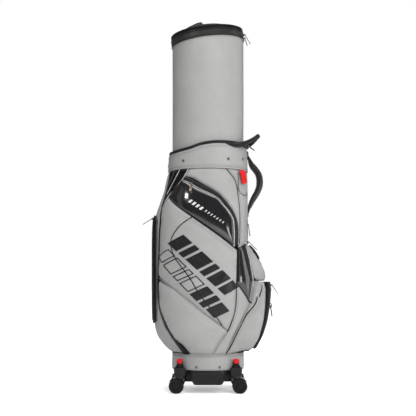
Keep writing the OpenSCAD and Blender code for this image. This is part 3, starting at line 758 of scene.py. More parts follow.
def round_back(route):
    """The route's mirror image behind the bag, where the directions run on past -180."""
    return [(-360 - a, z) for a, z in route[::-1]]


def wrap_panels():
    """Panels that cross from the near side to the far side, behind and in front."""
    garment = between(LEFT_SEAM, 132, 751)
    right = STRIP_RIGHT + [(-24.5, 497)]
    gusset = [(-20.4, 374), (-20.4, 170), (-21.5, 152), (-27, 143), (-42, 134)]
    face = curve([(-10.3, 360), (-10.3, 260), (-10.3, 170), (-8.5, 155), (0, 151)], 6)
    low = [(-20.2, 168), (-20.0, 156), (-17, 147), (-10, 144), (0, 143)]
    face_border = [(-10.4, 373.5), (-10.4, 170), (-8.6, 153.5), (0, 149.5)]
    upper = curve([(-24.5, 496), (-21.5, 470), (-20.5, 430), (-20.8, 377)])
    door = curve([(-170, 234), (-164.5, 238), (-163.5, 252)], 4)
    door += curve([(-163.5, 580), (-164.5, 594), (-170, 598)], 4)
    made = [
        panel("garment_panel", garment + round_back(garment), grey, crown=4, edge=16, cap=2, slack=0.004),
        panel("front_panel", right + mirrored(right)[::-1], grey_smooth, crown=3.5, edge=16, cap=1.5),
        panel("ball_side_near", BALL_OUTER + gusset,
              grey, surface=ball_r, crown=6, edge=26, cap=3, slack=0.006, shape=ripples(80, 60, 0.4, 9)),
        panel("ball_front", face + mirrored(face)[::-1],
              grey, surface=ball_r, crown=4, edge=24, lift=-3, cap=1.0),
        panel("ball_gusset", [(-20.2, 373.5)] + low + mirrored(low)[::-1][1:] + [(20.2, 373.5)]
              + mirrored(face_border) + face_border[::-1][1:],
              black, surface=ball_r, crown=1.5, edge=8, lift=-0.5, cap=0),
        panel("ball_roof", [(-10.3, 362), (-10.3, 374), (10.3, 374), (10.3, 362)],
              black, surface=ball_r, crown=1.5, edge=6, cap=0),
        panel("upper_pocket_panel", upper + mirrored(upper)[::-1], grey, surface=upper_r, crown=5, edge=20,
              cap=5, slack=0.035, step=4, shape=ripples(12, 19, 2.3, 12)),
        panel("garment_door_face", door + round_back(door),
              black, surface=door_r, crown=3, edge=14, lift=-4.0, cap=0.8)]
    return {obj.name: obj for obj in made}


def wall(name, first, second, material, bulge=2.0, steps=5):
    """A leather wall stretched between two rows of points, slightly stuffed."""
    first, second = np.asarray(first), np.asarray(second)
    up = unit(np.cross(np.gradient(first, axis=0), second - first))
    rows = [first + (second - first) * t + up * bulge * math.sin(math.pi * t)
            for t in np.linspace(0, 1, steps)]
    obj = piece(name, np.vstack(rows), grid(steps, len(first)), material)
    thicken(obj, LEATHER_THICK)
    return obj


def ball_walls():
    """The sides of the ball pocket from its front edge back to the bag, and its top."""
    route = spaced(flat(BALL_OUTER), 5)
    a, z = route[:, 0] / ARC, route[:, 1]
    outer = polar(a, ball_r(a, z) - 1.0, z)
    inner = polar(a, np.minimum(bag_r(a, z) - 4.0, ball_r(a, z) - 2.0), z)
    side = wall("ball_wall_near", outer, inner, grey, 1.5)
    top = np.linspace(-23.5, 23.5, 25)
    outer = polar(top, ball_r(top, 373.0) - 1.0, 373.4)
    inner = polar(top, bag_r(top, 376.0) - 5.0, 375.4)
    wall("ball_top_panel", outer, inner, grey, -1.6)
    return side


def ball_lean(z):
    """How far the ball pocket's sides stand from its middle at a height, as a share of a 24 degree half."""
    return float(np.interp(z, [133, 160, 205, 257, 295, 337, 376], [60, 55, 48, 37, 27, 24.5, 23.5])) / 24


def lining():
    """The pockets' inner bags: thin shells under the panels, so that no gap shows at the seams."""
    heights = np.arange(131, 752, 9.0)
    turn = np.arange(0, 360, 3.0)
    verts = np.vstack([polar(turn, bag_r(turned(turn), z) - 5.5, z) for z in heights]
                      + [polar(turn, bag_r(turned(turn), z) - 7.5, z) for z in heights[::-1]])
    obj = outward(piece("pocket_lining", verts, grid(2 * len(heights), len(turn), True, True), black))
    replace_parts(obj, "bag_skin")
    rows, columns = 16, 15
    for name, surface, middle, half, low, high, material in (
            ("ball_lining", ball_r, 0, 21.5, 137, 371, black),
            ("upper_lining", upper_r, 0, 20, 384, 494, black),
            ("door_gusset", door_r, 180, 16.3, 237, 596, tape)):
        outer, inner = [], []
        for z in np.linspace(low, high, rows):
            a = np.linspace(-half, half, columns) * (ball_lean(z) if name == "ball_lining" else 1.0) + middle
            outer.append(polar(a, surface(turned(a), z) - 4.5, z))
            inner.append(polar(a, bag_r(turned(a), z) - 5, z))
        outward(piece(name, *slab(np.vstack(outer), np.vstack(inner), rows, columns), material))


# ---- everything that lies on the panels ----

RAY_START = 420.0        # distance from the axis, outside everything
trees = []


def cover(objects):
    """Keeps the objects' surfaces, so that trims can be laid on them."""
    graph = bpy.context.evaluated_depsgraph_get()
    for obj in objects:
        trees.append(BVHTree.FromObject(obj, graph))


def outermost(angle, height):
    """The outermost covered surface at a place on the bag: its distance from the axis and its normal."""
    start = Vector(polar([angle], RAY_START, height)[0] * MM)
    way = Vector(polar([angle], -1.0, 0.0)[0])
    best, normal = None, -way
    for tree in trees:
        hit, face_normal, _, distance = tree.ray_cast(start, way, RAY_START * MM)
        if hit is not None and (best is None or distance < best):
            best, normal = distance, face_normal
    if best is None:
        return float(bag_r(turned(angle), height)), normal
    return RAY_START - best / MM, -normal if normal.dot(way) > 0 else normal


def laid(route, rise=0.0, smooth=0, step=4.0, closed=False):
    """Points on the outermost surface under a route, their normals, raised by rise."""
    uv = spaced(flat(route), step, closed)
    a, z = uv[:, 0] / ARC, uv[:, 1]
    found = [outermost(angle, height) for angle, height in zip(a, z)]
    reach = np.array([r for r, _ in found])
    normals = np.array([tuple(n) for _, n in found])
    if smooth:
        weights = bell(3 * smooth, smooth)
        mode = "wrap" if closed else "edge"

        def eased(column):
            return np.convolve(np.pad(column, 3 * smooth, mode), weights, "valid")
        reach, normals = eased(reach), np.column_stack([eased(column) for column in normals.T])
    normals = unit(normals)
    return polar(a, reach, z) + normals * rise, normals


def both_sides(obj, mirror=True):
    """Adds the far side's copy of a piece."""
    if mirror:
        far_copy(obj)
    return obj


def piping(name, route, radius=2.2, material=None, sink=0.4, mirror=True, closed=False, smooth=2):
    """A sewn cord in a leather sleeve, laid along a seam."""
    p, n = laid(route, -sink * radius, smooth, 4.0, closed)
    taper = np.ones(len(p))
    if not closed:
        taper[0] = taper[-1] = 0.55
    verts, faces = loft(p, n, radius * taper, radius * taper, 10, closed)
    obj = outward(piece(name, verts, faces, material or black_piping))
    return both_sides(obj, mirror)


def band(name, route, half, thick, material, mirror=True, closed=False, sink=0.5, smooth=1):
    """A flat strip with rounded edges."""
    p, n = laid(route, thick * (0.5 - sink) if sink else thick / 2, smooth, 4.0, closed)
    verts, faces = loft(p, n, half, thick, 12, closed, 3.5)
    return both_sides(outward(piece(name, verts, faces, material)), mirror)


def stitch_parts(route, pitch=5.4, length=3.6, radius=0.5, rise=0.25, closed=False):
    """Single stitches along a route: each a short thread with sunken ends."""
    p, n = laid(route, rise, 1, pitch / 2, closed)
    parts = []
    for i in range(1, len(p) - 1, 2):
        t = p[i + 1] - p[i - 1]
        t = t / (np.linalg.norm(t) + 1e-9)
        ends = ((-0.5, 0.7), (-0.3, 0.0), (0.3, 0.0), (0.5, 0.7))
        points = [p[i] + t * length * along - n[i] * depth for along, depth in ends]
        parts.append(stitch(points, n[i], np.array([0.4, 1, 1, 0.4]) * radius))
    return parts


def stitches(name, routes, material, mirror=True, **more):
    """Rows of stitches as one piece."""
    parts = []
    for route in routes:
        parts += stitch_parts(route, **more)
    verts, faces = joined(parts)
    return both_sides(piece(name, verts, faces, material), mirror)


def zipper(name, route, mirror=True, half=5.5, closed=False, rise=0.9):
    """A zip: a woven tape and two rows of moulded teeth."""
    band(name + "_tape", route, half, 0.9, tape, mirror, closed)
    p, n = laid(route, rise, 1, 2.6, closed)
    t = unit(np.gradient(p, axis=0))
    side = np.cross(t, n)
    parts = []
    for i in range(len(p)):
        s = 1 if i % 2 else -1
        parts.append(box_mesh(p[i] + side[i] * s * 0.7, side[i], t[i], n[i], (1.3, 0.75, 0.65)))
    verts, faces = joined(parts)
    return both_sides(piece(name + "_teeth", verts, faces, teeth, smooth=False), mirror)


def decal(name, outlines, material, rise=0.35, thick=0.45, mirror=True, step=4.5):
    """Flat shapes laid on the surface, each a list of loops in millimetres, the first its outline."""
    parts = []
    for loops in outlines:
        verts, faces, _ = filled([np.asarray(loop, float) for loop in loops], step)
        a, z = verts[:, 0] / ARC, verts[:, 1]
        reach = np.array([outermost(angle, height)[0] for angle, height in zip(a, z)])
        parts.append((polar(a, reach + rise + thick, z), faces))
    verts, faces = joined(parts)
    obj = piece(name, verts, faces, material)
    centre = obj.data.polygons[0].center
    if obj.data.polygons[0].normal.dot(Vector((centre.x, centre.y, 0))) < 0:
        obj.data.flip_normals()
    thicken(obj, thick + 0.3)
    return both_sides(obj, mirror)


def slider_body(name, a, z, r, pin_out, length=8, mirror=False, body="bag", frame_of=None):
    """A zip slider: a waisted body, its bridge and the pin that carries the pull."""
    def put(x, y, dz):
        p = np.array([r + x, y, z + dz])
        v = math.radians(a)
        q = np.array([p[0] * math.cos(v) - p[1] * math.sin(v), p[0] * math.sin(v) + p[1] * math.cos(v), p[2]])
        return frame_of(q) if frame_of else q
    parts = []
    outline = [(-4.2, 5), (-4.6, 2), (-3.2, -1), (-2.6, -5), (2.6, -5), (3.2, -1), (4.6, 2), (4.2, 5),
               (1.5, 5.8), (-1.5, 5.8)]
    low = [put(-1.0, y, h) for y, h in outline]
    high = [put(1.6, y * 0.9, h * 0.92) for y, h in outline]
    parts.append((np.array(low + high), prism(len(outline))))
    profile = ((1.2, 2.6), (1.2, -2.6), (pin_out - 0.4, -1.9), (pin_out + 1.4, 0), (pin_out - 0.4, 1.9))
    for s in (-1, 1):
        cheek = [put(x, s * (length / 2 - depth), h) for depth in (0.7, 1.9) for x, h in profile]
        parts.append((np.array(cheek), prism(len(profile))))
    ends = [put(pin_out, y, 0) for y in np.linspace(-length / 2, length / 2, 5)]
    up = put(pin_out + 1, 0, 0) - put(pin_out, 0, 0)
    parts.append(loft(ends, [up] * 5, 1.05, 1.05, 10))
    verts, faces = joined(parts)
    obj = outward(piece(name, verts, faces, bronze, body))
    return both_sides(obj, mirror)

# ---- hood and lid ----

def hood_place(q):
    """From the frame of the hood's sloped top edge to the bag's."""
    q = np.asarray(q, float)
    c, s = math.cos(HOOD_SLOPE), math.sin(HOOD_SLOPE)
    x, y, z = q[..., 0], q[..., 1], q[..., 2]
    return np.stack([x * c - z * s, y, HOOD_TOP + x * s + z * c], axis=-1)


def ring_of(section, turn, where=None):
    """A closed ring: section(a) gives points (radius, height) for a direction."""
    rows = []
    for a in turn:
        rz = np.array(section(a), float)
        q = polar(a, rz[:, 0], rz[:, 1])
        rows.append(where(q) if where else q)
    n, k = len(turn), len(rows[0])
    faces = [[i * k + m, ((i + 1) % n) * k + m, ((i + 1) % n) * k + (m + 1) % k, i * k + (m + 1) % k]
             for i in range(n) for m in range(k)]
    return np.vstack(rows), faces


def rounded_section(r0, r1, z0, z1, k=1.5, puff=0.0):
    """A ring's section with rounded outer corners and a slightly stuffed outer face."""
    points = [(r0, z0), (r1 - k, z0), (r1 - 0.3 * k, z0 + 0.3 * k), (r1, z0 + k)]
    points += [(r1 + puff * math.sin(math.pi * t), z0 + k + (z1 - z0 - 2 * k) * t)
               for t in (0.12, 0.3, 0.5, 0.7, 0.88)]
    points += [(r1, z1 - k), (r1 - 0.3 * k, z1 - 0.3 * k), (r1 - k, z1), (r0, z1)]
    return points


DOOR_SEAM = 15          # direction of the hood's side seams, from +X
STITCH_AT = (0.1, 0.3, 0.7, 0.9)     # where a stitch runs on its stretch of a seam


def hood():
    """The telescoping tube with its two side seams, its black band and the lid's zip."""
    wall = 2.4
    low, rows = 770, 60
    turn = np.arange(0, 360, 2.5)

    def top_of(a):
        return HOOD_TOP + HOOD_R * math.cos(math.radians(a)) * math.tan(HOOD_SLOPE)

    def sag(a, t):
        seam = min(abs((a - s + 180) % 360 - 180) for s in (DOOR_SEAM, -DOOR_SEAM))
        flutter = 0.35 * math.sin(math.radians(3 * a) + 4 * t) + 0.25 * math.sin(math.radians(5 * a) - 7 * t)
        return -0.5 + flutter * math.sin(math.pi * t) - 0.7 * math.exp(-(seam / 2.0) ** 2)

    def section(a):
        top = top_of(a)
        out = [(HOOD_R - 0.2 + sag(a, t), low + (top - low) * t) for t in np.linspace(0, 1, rows)]
        return out + [(HOOD_R - wall, top), (HOOD_R - wall, low)]
    verts, faces = ring_of(section, turn)
    tube = outward(piece("hood_cover", verts, faces, grey_smooth, "hood"))
    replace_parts(tube, "hood_tube")
    dark, pale, thread = [], [], []
    for s in (-1, 1):
        for shift, radius, cords in ((0.0, 1.5, dark), (-1.9, 0.9, pale), (1.5, 0.7, pale)):
            a = s * (DOOR_SEAM - shift)
            z = np.linspace(776, top_of(a) - 2, 60)
            cords.append(loft(polar(a, HOOD_R - 0.3, z), polar([a] * 60, 1.0, 0.0), radius, radius * 0.8, 8))
        for shift in (1.4, 2.7):
            a = s * (DOOR_SEAM + shift)
            for z in np.arange(780, top_of(a) - 6, 6.0):
                q = polar([a] * 4, HOOD_R - 0.25, z + np.array([0, 1, 3, 4]))
                thread.append(stitch(q, polar(a, 1.0, 0.0)[0], [0.2, 0.45, 0.45, 0.2]))
    piece("hood_seam_piping", *joined(dark), black_piping, "hood")
    piece("hood_seam_edge", *joined(pale), pale_piping, "hood")
    piece("hood_seam_thread", *joined(thread), grey_thread, "hood")
    band_r = HOOD_R + 2.4
    inner_r = HOOD_R - wall
    section = rounded_section(inner_r, band_r - 0.5, 0.3, BAND_H, 1.4, 0.6)
    verts, faces = ring_of(lambda _: section, TURN, hood_place)
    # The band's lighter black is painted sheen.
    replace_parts(outward(piece("hood_band", verts, faces, painted_sheen_black, "hood")), "hood_rim")
    cords = [hoop(band_r - 0.4, z, 1.3, hood_place) for z in (1.6, BAND_H - 1.4)]
    piece("hood_band_piping", *joined(cords), black_piping, "hood")
    thread = []
    for z in (5.0, BAND_H - 5.0):
        for a in np.arange(0, 360, 2.6):
            q = polar(a + np.array([-0.8, -0.4, 0.4, 0.8]), band_r + np.array([-0.5, 0.25, 0.25, -0.5]), z)
            thread.append(stitch(hood_place(q), polar(a, 1.0, 0.0)[0], 0.4))
    piece("hood_band_thread", *joined(thread), black_thread, "hood")
    zip_section = rounded_section(inner_r, band_r - 1.4, BAND_H + 0.2, BAND_H + 3.9, 0.6)
    verts, faces = ring_of(lambda _: zip_section, TURN, hood_place)
    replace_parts(outward(piece("lid_zip_tape", verts, faces, tape, "hood")), "hood_zip")
    coil = []
    for i, a in enumerate(np.arange(0, 360, 1.2)):
        q = hood_place(polar(a, band_r - 1.1, BAND_H + 2.1 + (0.6 if i % 2 else -0.6)))[0]
        out, side = polar([a, a + 90], 1.0, 0.0)
        coil.append(box_mesh(q, out, side, (0, 0, 1), (0.7, 0.85, 1.0)))
    piece("lid_zip_teeth", *joined(coil), teeth, "hood", False)
    for name, a, z in (("lid_slider_upper", -4, BAND_H - 3), ("lid_slider_lower", 5, BAND_H - 9)):
        slider_body(name, a, z, band_r - 0.4, PIN_OUT, 8, False, "hood", hood_place)


def lid():
    """The domed lid, its piping and thread, and the strap that lifts it."""
    z0, edge, rise, dome = BAND_H + 4.3, 8, 24, 2.6
    r = HOOD_R + 0.6
    top = z0 + edge + rise

    def section(_):
        out = [(r - 3.5, z0), (r - 1.2, z0), (r - 0.2, z0 + 1), (r, z0 + 3), (r, z0 + 6), (r - 1.5, z0 + 8.5)]
        for q in np.linspace(1, 0, 14):
            fall = (q ** dome) * (rise - 0.5) + 0.8 * math.sin(6.28 * q * 1.5) * (1 - q) * q
            out.append(((r - 4.5) * q + 0.01, top - 0.6 - fall))
        return out + [(0.01, top - 3.0), (r - 6, z0 + 5), (r - 3.5, z0 + 1)]
    verts, faces = ring_of(section, TURN, hood_place)
    cap = outward(piece("lid_cover", verts, faces, black, "lid"))
    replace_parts(cap, "lid_shell")
    cords = [hoop(radius, z, k, hood_place)
             for radius, z, k in ((r - 0.6, z0 + 8.2, 1.7), (r * 0.62, top - 0.6 - 0.62 ** dome * rise, 1.1))]
    piece("lid_piping", *joined(cords), black_piping, "lid")
    thread = []
    for radius, z in ((r * 0.9, top - 0.3 - 0.92 ** dome * rise),
                      (r * 0.57, top - 0.1 - 0.58 ** dome * rise)):
        half = math.degrees(1.7 / radius)
        for a in np.arange(0, 360, 5.4 / radius * 57.3):
            q = polar(a + half * np.array([-1, -0.5, 0.5, 1]), radius, z + np.array([-0.4, 0.4, 0.4, -0.4]))
            thread.append(stitch(hood_place(q), (0, 0, 1), 0.4))
    piece("lid_thread", *joined(thread), black_thread, "lid")
    path = curve([(-74, 50), (-72, 56), (-67, 61), (-58, 65), (-47, 69), (-35, 73), (-24, 76), (-16, 76),
                  (-12, 71.5), (-10, 65), (-9, 57)], 5)
    p = np.array([(x, 0, z) for x, z in path])
    n = unit(np.cross(np.gradient(p, axis=0), (0, 1, 0)))
    verts, faces = loft(hood_place(p), n, 11.5, 2.3, 16, False, 3.0)
    strap = outward(piece("lid_strap", verts, faces, black, "lid"))
    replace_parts(strap, "lid_handle")
    cords = [loft(hood_place(p + [0, y, 0]), n, 1.3, 1.5, 8) for y in (-11.2, 11.2)]
    piece("lid_strap_edges", *joined(cords), black_piping, "lid")
    thread = []
    for y in (-8, 8):
        for i in range(2, len(p) - 3):
            q = np.array([p[i] + (p[i + 1] - p[i]) * f for f in STITCH_AT]) + [0, y, 0]
            thread += [stitch(hood_place(q - n[i] * out), n[i], 0.5) for out in (-2.3, 2.3)]
    for x, z in ((-71, 55), (-10.5, 61)):
        for y in (-6, -3, 0, 3, 6):
            q = np.array([(x + d, y, z) for d in (-1.6, -0.5, 0.5, 1.6)])
            thread.append(stitch(hood_place(q), (0, 0, 1), 0.6))
    piece("lid_strap_thread", *joined(thread), pale_thread, "lid")


# ---- cuff, rim and handles ----

CUFF_EDGE = np.array(curve([
    (-180, 805.5), (-150, 806), (-135, 808.5), (-117, 814), (-100, 825), (-82, 831.5), (-65, 833),
    (-45, 831.5), (-28, 830), (0, 829.5)], 10))


def cuff_top(a):
    """Height of the cuff's upper edge in a direction."""
    return np.interp(-np.abs(turned(a)), CUFF_EDGE[:, 0], CUFF_EDGE[:, 1])


def cuff():
    """The padded cuff, whose top edge falls towards the back."""
    def section(a):
        top = float(cuff_top(a)) - 0.3
        span = top - CUFF_LOW
        out = [(129.6, CUFF_LOW), (135.2, CUFF_LOW), (136.6, CUFF_LOW + 1.0)]
        for t in np.linspace(0.04, 0.97, 14):
            swelling = 1.6 * math.sin(math.pi * t) ** 0.5 - 0.8
            out.append((137.0 - 4.2 * t * span / 85 + swelling, CUFF_LOW + span * t))
        return out + [(131.6, top), (129.6, top)]
    verts, faces = ring_of(section, np.arange(0, 360, 2.0))
    obj = outward(piece("cuff_pad", verts, faces, grey_smooth))
    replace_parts(obj, "cuff")
    return obj


def cuff_trims():
    routes = [[(a, float(cuff_top(a)) - d) for a in AROUND] for d in (7.0, 11.0)]
    routes += [[(a, CUFF_LOW + d) for a in AROUND] for d in (5.0, 9.0)]
    stitches("cuff_thread", routes, grey_thread, False)
    band("cuff_hem", [(a, CUFF_LOW + 1.2) for a in AROUND], 2.0, 1.0, grey_smooth, False)


def rim():
    """The moulded rim on the cuff, which thickens towards +X where the lift handle leaves it."""
    half_thick = 3.9

    def section(a):
        near_handle = math.exp(-(float(turned(a)) / 52.0) ** 4)
        low = float(cuff_top(a)) - 0.2 - 3.0 * near_handle
        half_high = (10.0 + 7.0 * near_handle) / 2
        g = np.linspace(0, 2 * math.pi, 16, endpoint=False) + 0.2
        x = squared(np.cos(g), 0.6) * half_thick
        return list(zip(129.9 + x, low + half_high + squared(np.sin(g), 0.75) * half_high))
    verts, faces = ring_of(section, TURN)
    obj = outward(piece("rim_moulding", verts, faces, moulded))
    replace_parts(obj, "cuff_rim")
    half = [(58, -115.5, 831.5), (84, -102, 830), (103, -91.5, 832), (121, -77, 838), (137, -60, 847),
            (152, -43, 857), (165, -24, 868), (171.5, -8, 874.5)]
    path = np.array(curve(half + [(x, -y, z) for x, y, z in half[::-1]], 6))
    t = np.abs(np.linspace(-1, 1, len(path)))
    wide = np.interp(t, [0, 0.45, 0.68, 0.8, 0.92, 1.0], [6.6, 7.0, 9.2, 8.6, 6.0, 3.6])
    thick = np.interp(t, [0, 0.7, 0.9, 1.0], [6.0, 5.4, 4.4, 3.0])
    normals = np.array([(x, y, 0.45 * math.hypot(x, y)) for x, y, _ in path])
    verts, faces = loft(path, normals, wide, thick, 18, False, 2.6)
    grip = outward(piece("lift_loop", verts, faces, moulded))
    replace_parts(grip, "lift_handle")
    ribs = []
    n = unit(normals)
    g = np.linspace(0, 2 * math.pi, 18, endpoint=False)
    c, s = squared(np.cos(g), 0.77), squared(np.sin(g), 0.77)
    for i in range(len(path) // 2 - 12, len(path) // 2 + 13, 2):
        d = path[i + 1] - path[i - 1]
        d = d / np.linalg.norm(d)
        side = np.cross(d, n[i])
        q = path[i] + np.outer(c * (wide[i] + 0.1), side) + np.outer(s * (thick[i] + 0.1), np.cross(side, d))
        ribs.append(loft(q, q - path[i], 0.7, 0.7, 6, True))
    piece("lift_loop_ribs", *joined(ribs), moulded)
    slope = (0.6, 0, 0.8)
    tab = [(134.5, 0, 843), (140, 0, 840.5), (147, 0, 836), (155, 0, 830), (161, 0, 825)]
    verts, faces = loft(tab, [slope] * 5, [3, 4.5, 4.5, 4.5, 2.5], [1.8, 2.3, 2.2, 2.2, 1.4], 12, False, 3)
    outward(piece("strap_ring_tab", verts, faces, bronze))
    mount = [(131.5, 0, 844.5), (134.5, 0, 843), (137.5, 0, 841.5)]
    outward(piece("strap_ring_mount", *loft(mount, [slope] * 3, 6.5, 4.5, 14, False, 4), moulded))


def carry_handle():
    """The padded handle: two leather halves over foam, with a welt between them, stitched along its length
    and patched at its ends.
    """
    path = [(138.5, 0, 806), (143, 0, 793), (151, 0, 774), (164, 0, 757), (173.5, 0, 741), (177, 0, 722),
            (175.5, 0, 702), (168, 0, 682), (157, 0, 663), (148, 0, 645), (142, 0, 628), (138.5, 0, 610)]
    p = np.array(curve(path, 7))
    t = np.linspace(0, 1, len(p))
    wide = 14.5 + 2.5 * np.cos(2 * math.pi * t) ** 2
    wide[:2] *= 0.9
    thick = np.interp(t, [0, 0.08, 0.2, 0.5, 0.72, 0.9, 1], [2.0, 5.0, 10.0, 11.2, 10.0, 6.0, 2.4])
    d = np.gradient(p, axis=0)
    normals = np.cross(d, (0, 1, 0))
    normals *= np.sign((normals @ np.array([1.0, 0, 0])))[:, None]
    verts, faces = loft(p, normals, wide, thick, 24, False, 2.4)
    # The pad's lighter black is painted sheen.
    pad = outward(piece("carry_handle_pad", verts, faces, painted_sheen_black))
    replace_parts(pad, "carry_handle")
    pins = pad.vertex_groups.new(name="pins")
    ends = [i for i in range(len(verts)) if verts[i][2] > 790 or verts[i][2] < 628]
    pins.add(ends, 1.0, "REPLACE")
    to_swell.append((pad, 1.8, 0.03))
    n = unit(normals)
    welts, thread = [], []
    for s in (-1, 1):
        edge = p + np.outer(s * (wide - 0.2), (0, 1, 0))
        welts.append(loft(edge[2:-2], n[2:-2], 1.3, 1.5, 8))
        for k in range(4, len(p) - 5):
            for side in (-1, 1):
                first, second = (p[i] + np.array([0, s * (wide[i] - 5), 0]) + n[i] * side * thick[i] * 0.86
                                 for i in (k, k + 1))
                thread.append(stitch([first + (second - first) * f for f in STITCH_AT], n[k], 0.55))
    piece("carry_handle_welts", *joined(welts), black_piping)
    piece("carry_handle_thread", *joined(thread), grey_thread)
    patches = []
    for z, x in ((808, 136.6), (607, 137.0)):
        section = ((-1.5, 13), (0.6, 8), (0.9, 0), (0.6, -8), (-1.5, -13))
        points = [(x + out, 0, z + up) for out, up in section]
        patches.append(loft(points, [(1, 0, 0)] * 5, 16.5, 1.8, 16, False, 4))
    piece("carry_handle_patches", *joined(patches), black)


# ---- red tab and umbrella sleeve ----

def sleeve():
    """The upper cap of the umbrella sleeve."""
    def raised(a, z):
        return bag_r(a, z) + 6.5
    outline = curve([(-42, 742), (-42.5, 700), (-42.5, 682), (-38, 669), (-29, 665), (-20, 671), (-15.5, 684),
                     (-14.5, 705), (-14, 742)], 6)
    cap = panel("sleeve_cap", outline,
                grey_smooth, surface=raised, crown=4, edge=14, lift=-5.5, cap=1.0, step=4)
    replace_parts(cap, "umbrella_sleeve")
    return cap


def sleeve_trims():
    welt = curve([(-42.6, 738), (-43.2, 700), (-43, 681), (-38.4, 667.5), (-29, 663.5), (-19.6, 669.5),
                  (-14.8, 683), (-14, 704), (-13.4, 738)], 6)
    piping("sleeve_welt", welt, 1.5, brown_piping, 0.1, False)
    stitches("sleeve_thread", [beside(welt, 4.5)], grey_thread, False)


def red_tab():
    """The plain webbing tab that hangs from under the cuff, with its crossed box of stitches."""
    a = -38.3
    high, low = 747, 702
    rows = 16
    q = []
    for z in np.linspace(high, low, rows):
        skew = 3.0 * (high - z) / (high - low)
        out = 141 + 9.5 * (1 - math.exp(-(high - z) / 5.0))
        q.append(polar([a + skew], out, z)[0])
    n = polar(a, 1.0, 0.0)[0]
    verts, faces = loft(q, [n] * rows, [13.2] + [14.2] * (rows - 2) + [13.4], 1.0, 14, False, 5)
    tab = outward(piece("webbing_tab", verts, faces, red_web))
    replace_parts(tab, "red_tab")
    side = np.cross(n, (0, 0, 1))
    up = q[4] - q[12]
    up /= np.linalg.norm(up)
    centre = (q[8] + q[9]) / 2 + n * 1.2
    corners = [(-8.5, 9), (8.5, 9), (8.5, -9), (-8.5, -9), (-8.5, 9), (8.5, -9)]
    pitch = 3.2
    thread = []
    for (x0, y0), (x1, y1) in zip(corners[:-1], corners[1:]):
        length = math.hypot(x1 - x0, y1 - y0)
        for k in range(int(length / pitch)):
            shares = [(k * pitch + d) / length for d in (0.5, 1.6, 2.7)]
            points = [centre + side * (x0 + (x1 - x0) * f) + up * (y0 + (y1 - y0) * f) for f in shares]
            thread.append(stitch(points, n, [0.25, 0.5, 0.25]))
    piece("webbing_tab_thread", *joined(thread), red_web)


# ---- base ----

def base():
    """The padded collar round the base."""
    def section(_):
        out = rounded_section(COLLAR_R - 2.0, COLLAR_R, COLLAR_LOW, COLLAR_TOP - 0.3, 1.5)
        swollen = [1.2 * math.sin(math.pi * (z - COLLAR_LOW) / (COLLAR_TOP - COLLAR_LOW)) for _, z in out]
        return [(r + (puff if r > COLLAR_R - 1 else 0), z) for (r, z), puff in zip(out, swollen)]
    verts, faces = ring_of(section, TURN)
    collar = outward(piece("collar_pad", verts, faces, grey_smooth))
    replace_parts(collar, "collar")
    return collar


def upright(centre, r, y):
    """A circle about a wheel's axle at y, and its outward directions."""
    g = np.radians(np.arange(0, 360, 12.0))
    out = np.column_stack([np.cos(g), np.zeros(len(g)), np.sin(g)])
    return out * r + [centre[0], y, centre[2]], out


def base_trims():
    """Thread and welts of the collar, rings and ribs of the caster posts, and the wheels' treads and hubs."""
    stitches("collar_thread", [[(a, z) for a in AROUND] for z in (81.5, 122.5, 126.0)], grey_thread, False)
    turn = np.arange(0, 360, 2.5)
    outward(piece("base_welt", *hoop(COLLAR_R + 0.6, COLLAR_TOP + 0.9, 1.5, turn=turn), grey_smooth))
    outward(piece("base_lower_welt", *hoop(COLLAR_R - 0.4, COLLAR_LOW - 0.2, 1.2, turn=turn), black_piping))
    sockets, fins = [], []
    g = np.arange(0, 360, 15.0)
    for i in (-1, 1):
        for j in (-1, 1):
            x, y = i * POST_AT[0], j * POST_AT[1]
            for z, r in ((88.6, 13.2), (91.4, 12.4), (94.2, 11.6)):
                sockets.append(loft(polar(g, r, z) + [x, y, 0], polar(g, 1.0, 0.0), 1.3, 1.6, 8, True))
            for k in range(-2, 3):
                place = (x + k * 6.0, y + j * 17.1, 73)
                fins.append(box_mesh(place, (1, 0, 0), (0, 1, 0), (0, 0, 1), (1.2, 0.9, 10)))
    piece("post_collars", *joined(sockets), socket)
    piece("socket_ribs", *joined(fins), socket, smooth=False)
    for c, (i, j) in {"fl": (-1, -1), "fr": (1, -1), "rl": (-1, 1), "rr": (1, 1)}.items():
        axle = np.array(AXLE_AT) * (i, j, 1)
        for w, s in (("outer", j), ("inner", -j)):
            treads = [loft(*upright(axle, TREAD_R, axle[1] + s * y), 0.9, 0.14, 6, True)
                      for y in (7.2, 10.0, 12.6)]
            piece(f"tread_{c}_{w}", *joined(treads), rubber, f"wheel_{c}_{w}")
            hub = []
            for r, k in ((6.2, 1.1), (19.2, 0.9)):
                ring, out = upright(axle, r, axle[1] + s * 14.5)
                hub.append(loft(ring, [(0, s, 0)] * len(out), k, k, 8, True))
            piece(f"hub_rings_{c}_{w}", *joined(hub), socket, f"wheel_{c}_{w}")


# ---- trims on the panels ----

def slanted_blocks(centre_line, widths, heights, lean=0.3, gap=0.22):
    """Plain slanted blocks along a line, as loops; they keep the decoration's size and stand for nothing."""
    (a0, z0), (a1, z1) = centre_line
    start, end = np.array([a0 * ARC, z0]), np.array([a1 * ARC, z1])
    length = np.linalg.norm(end - start)
    along = (end - start) / length
    up = np.array([-along[1], along[0]])
    step = length / sum(w + gap for w in widths)
    loops, x = [], 0.0
    for w, h in zip(widths, heights):
        w *= step
        shift = lean * h / 2
        outline = [(-shift, -h / 2), (w - shift, -h / 2), (w + shift, h / 2), (shift, h / 2)]
        loops.append([tuple(start + along * (x + u) + up * v) for u, v in outline])
        x += w + gap * step
    return loops


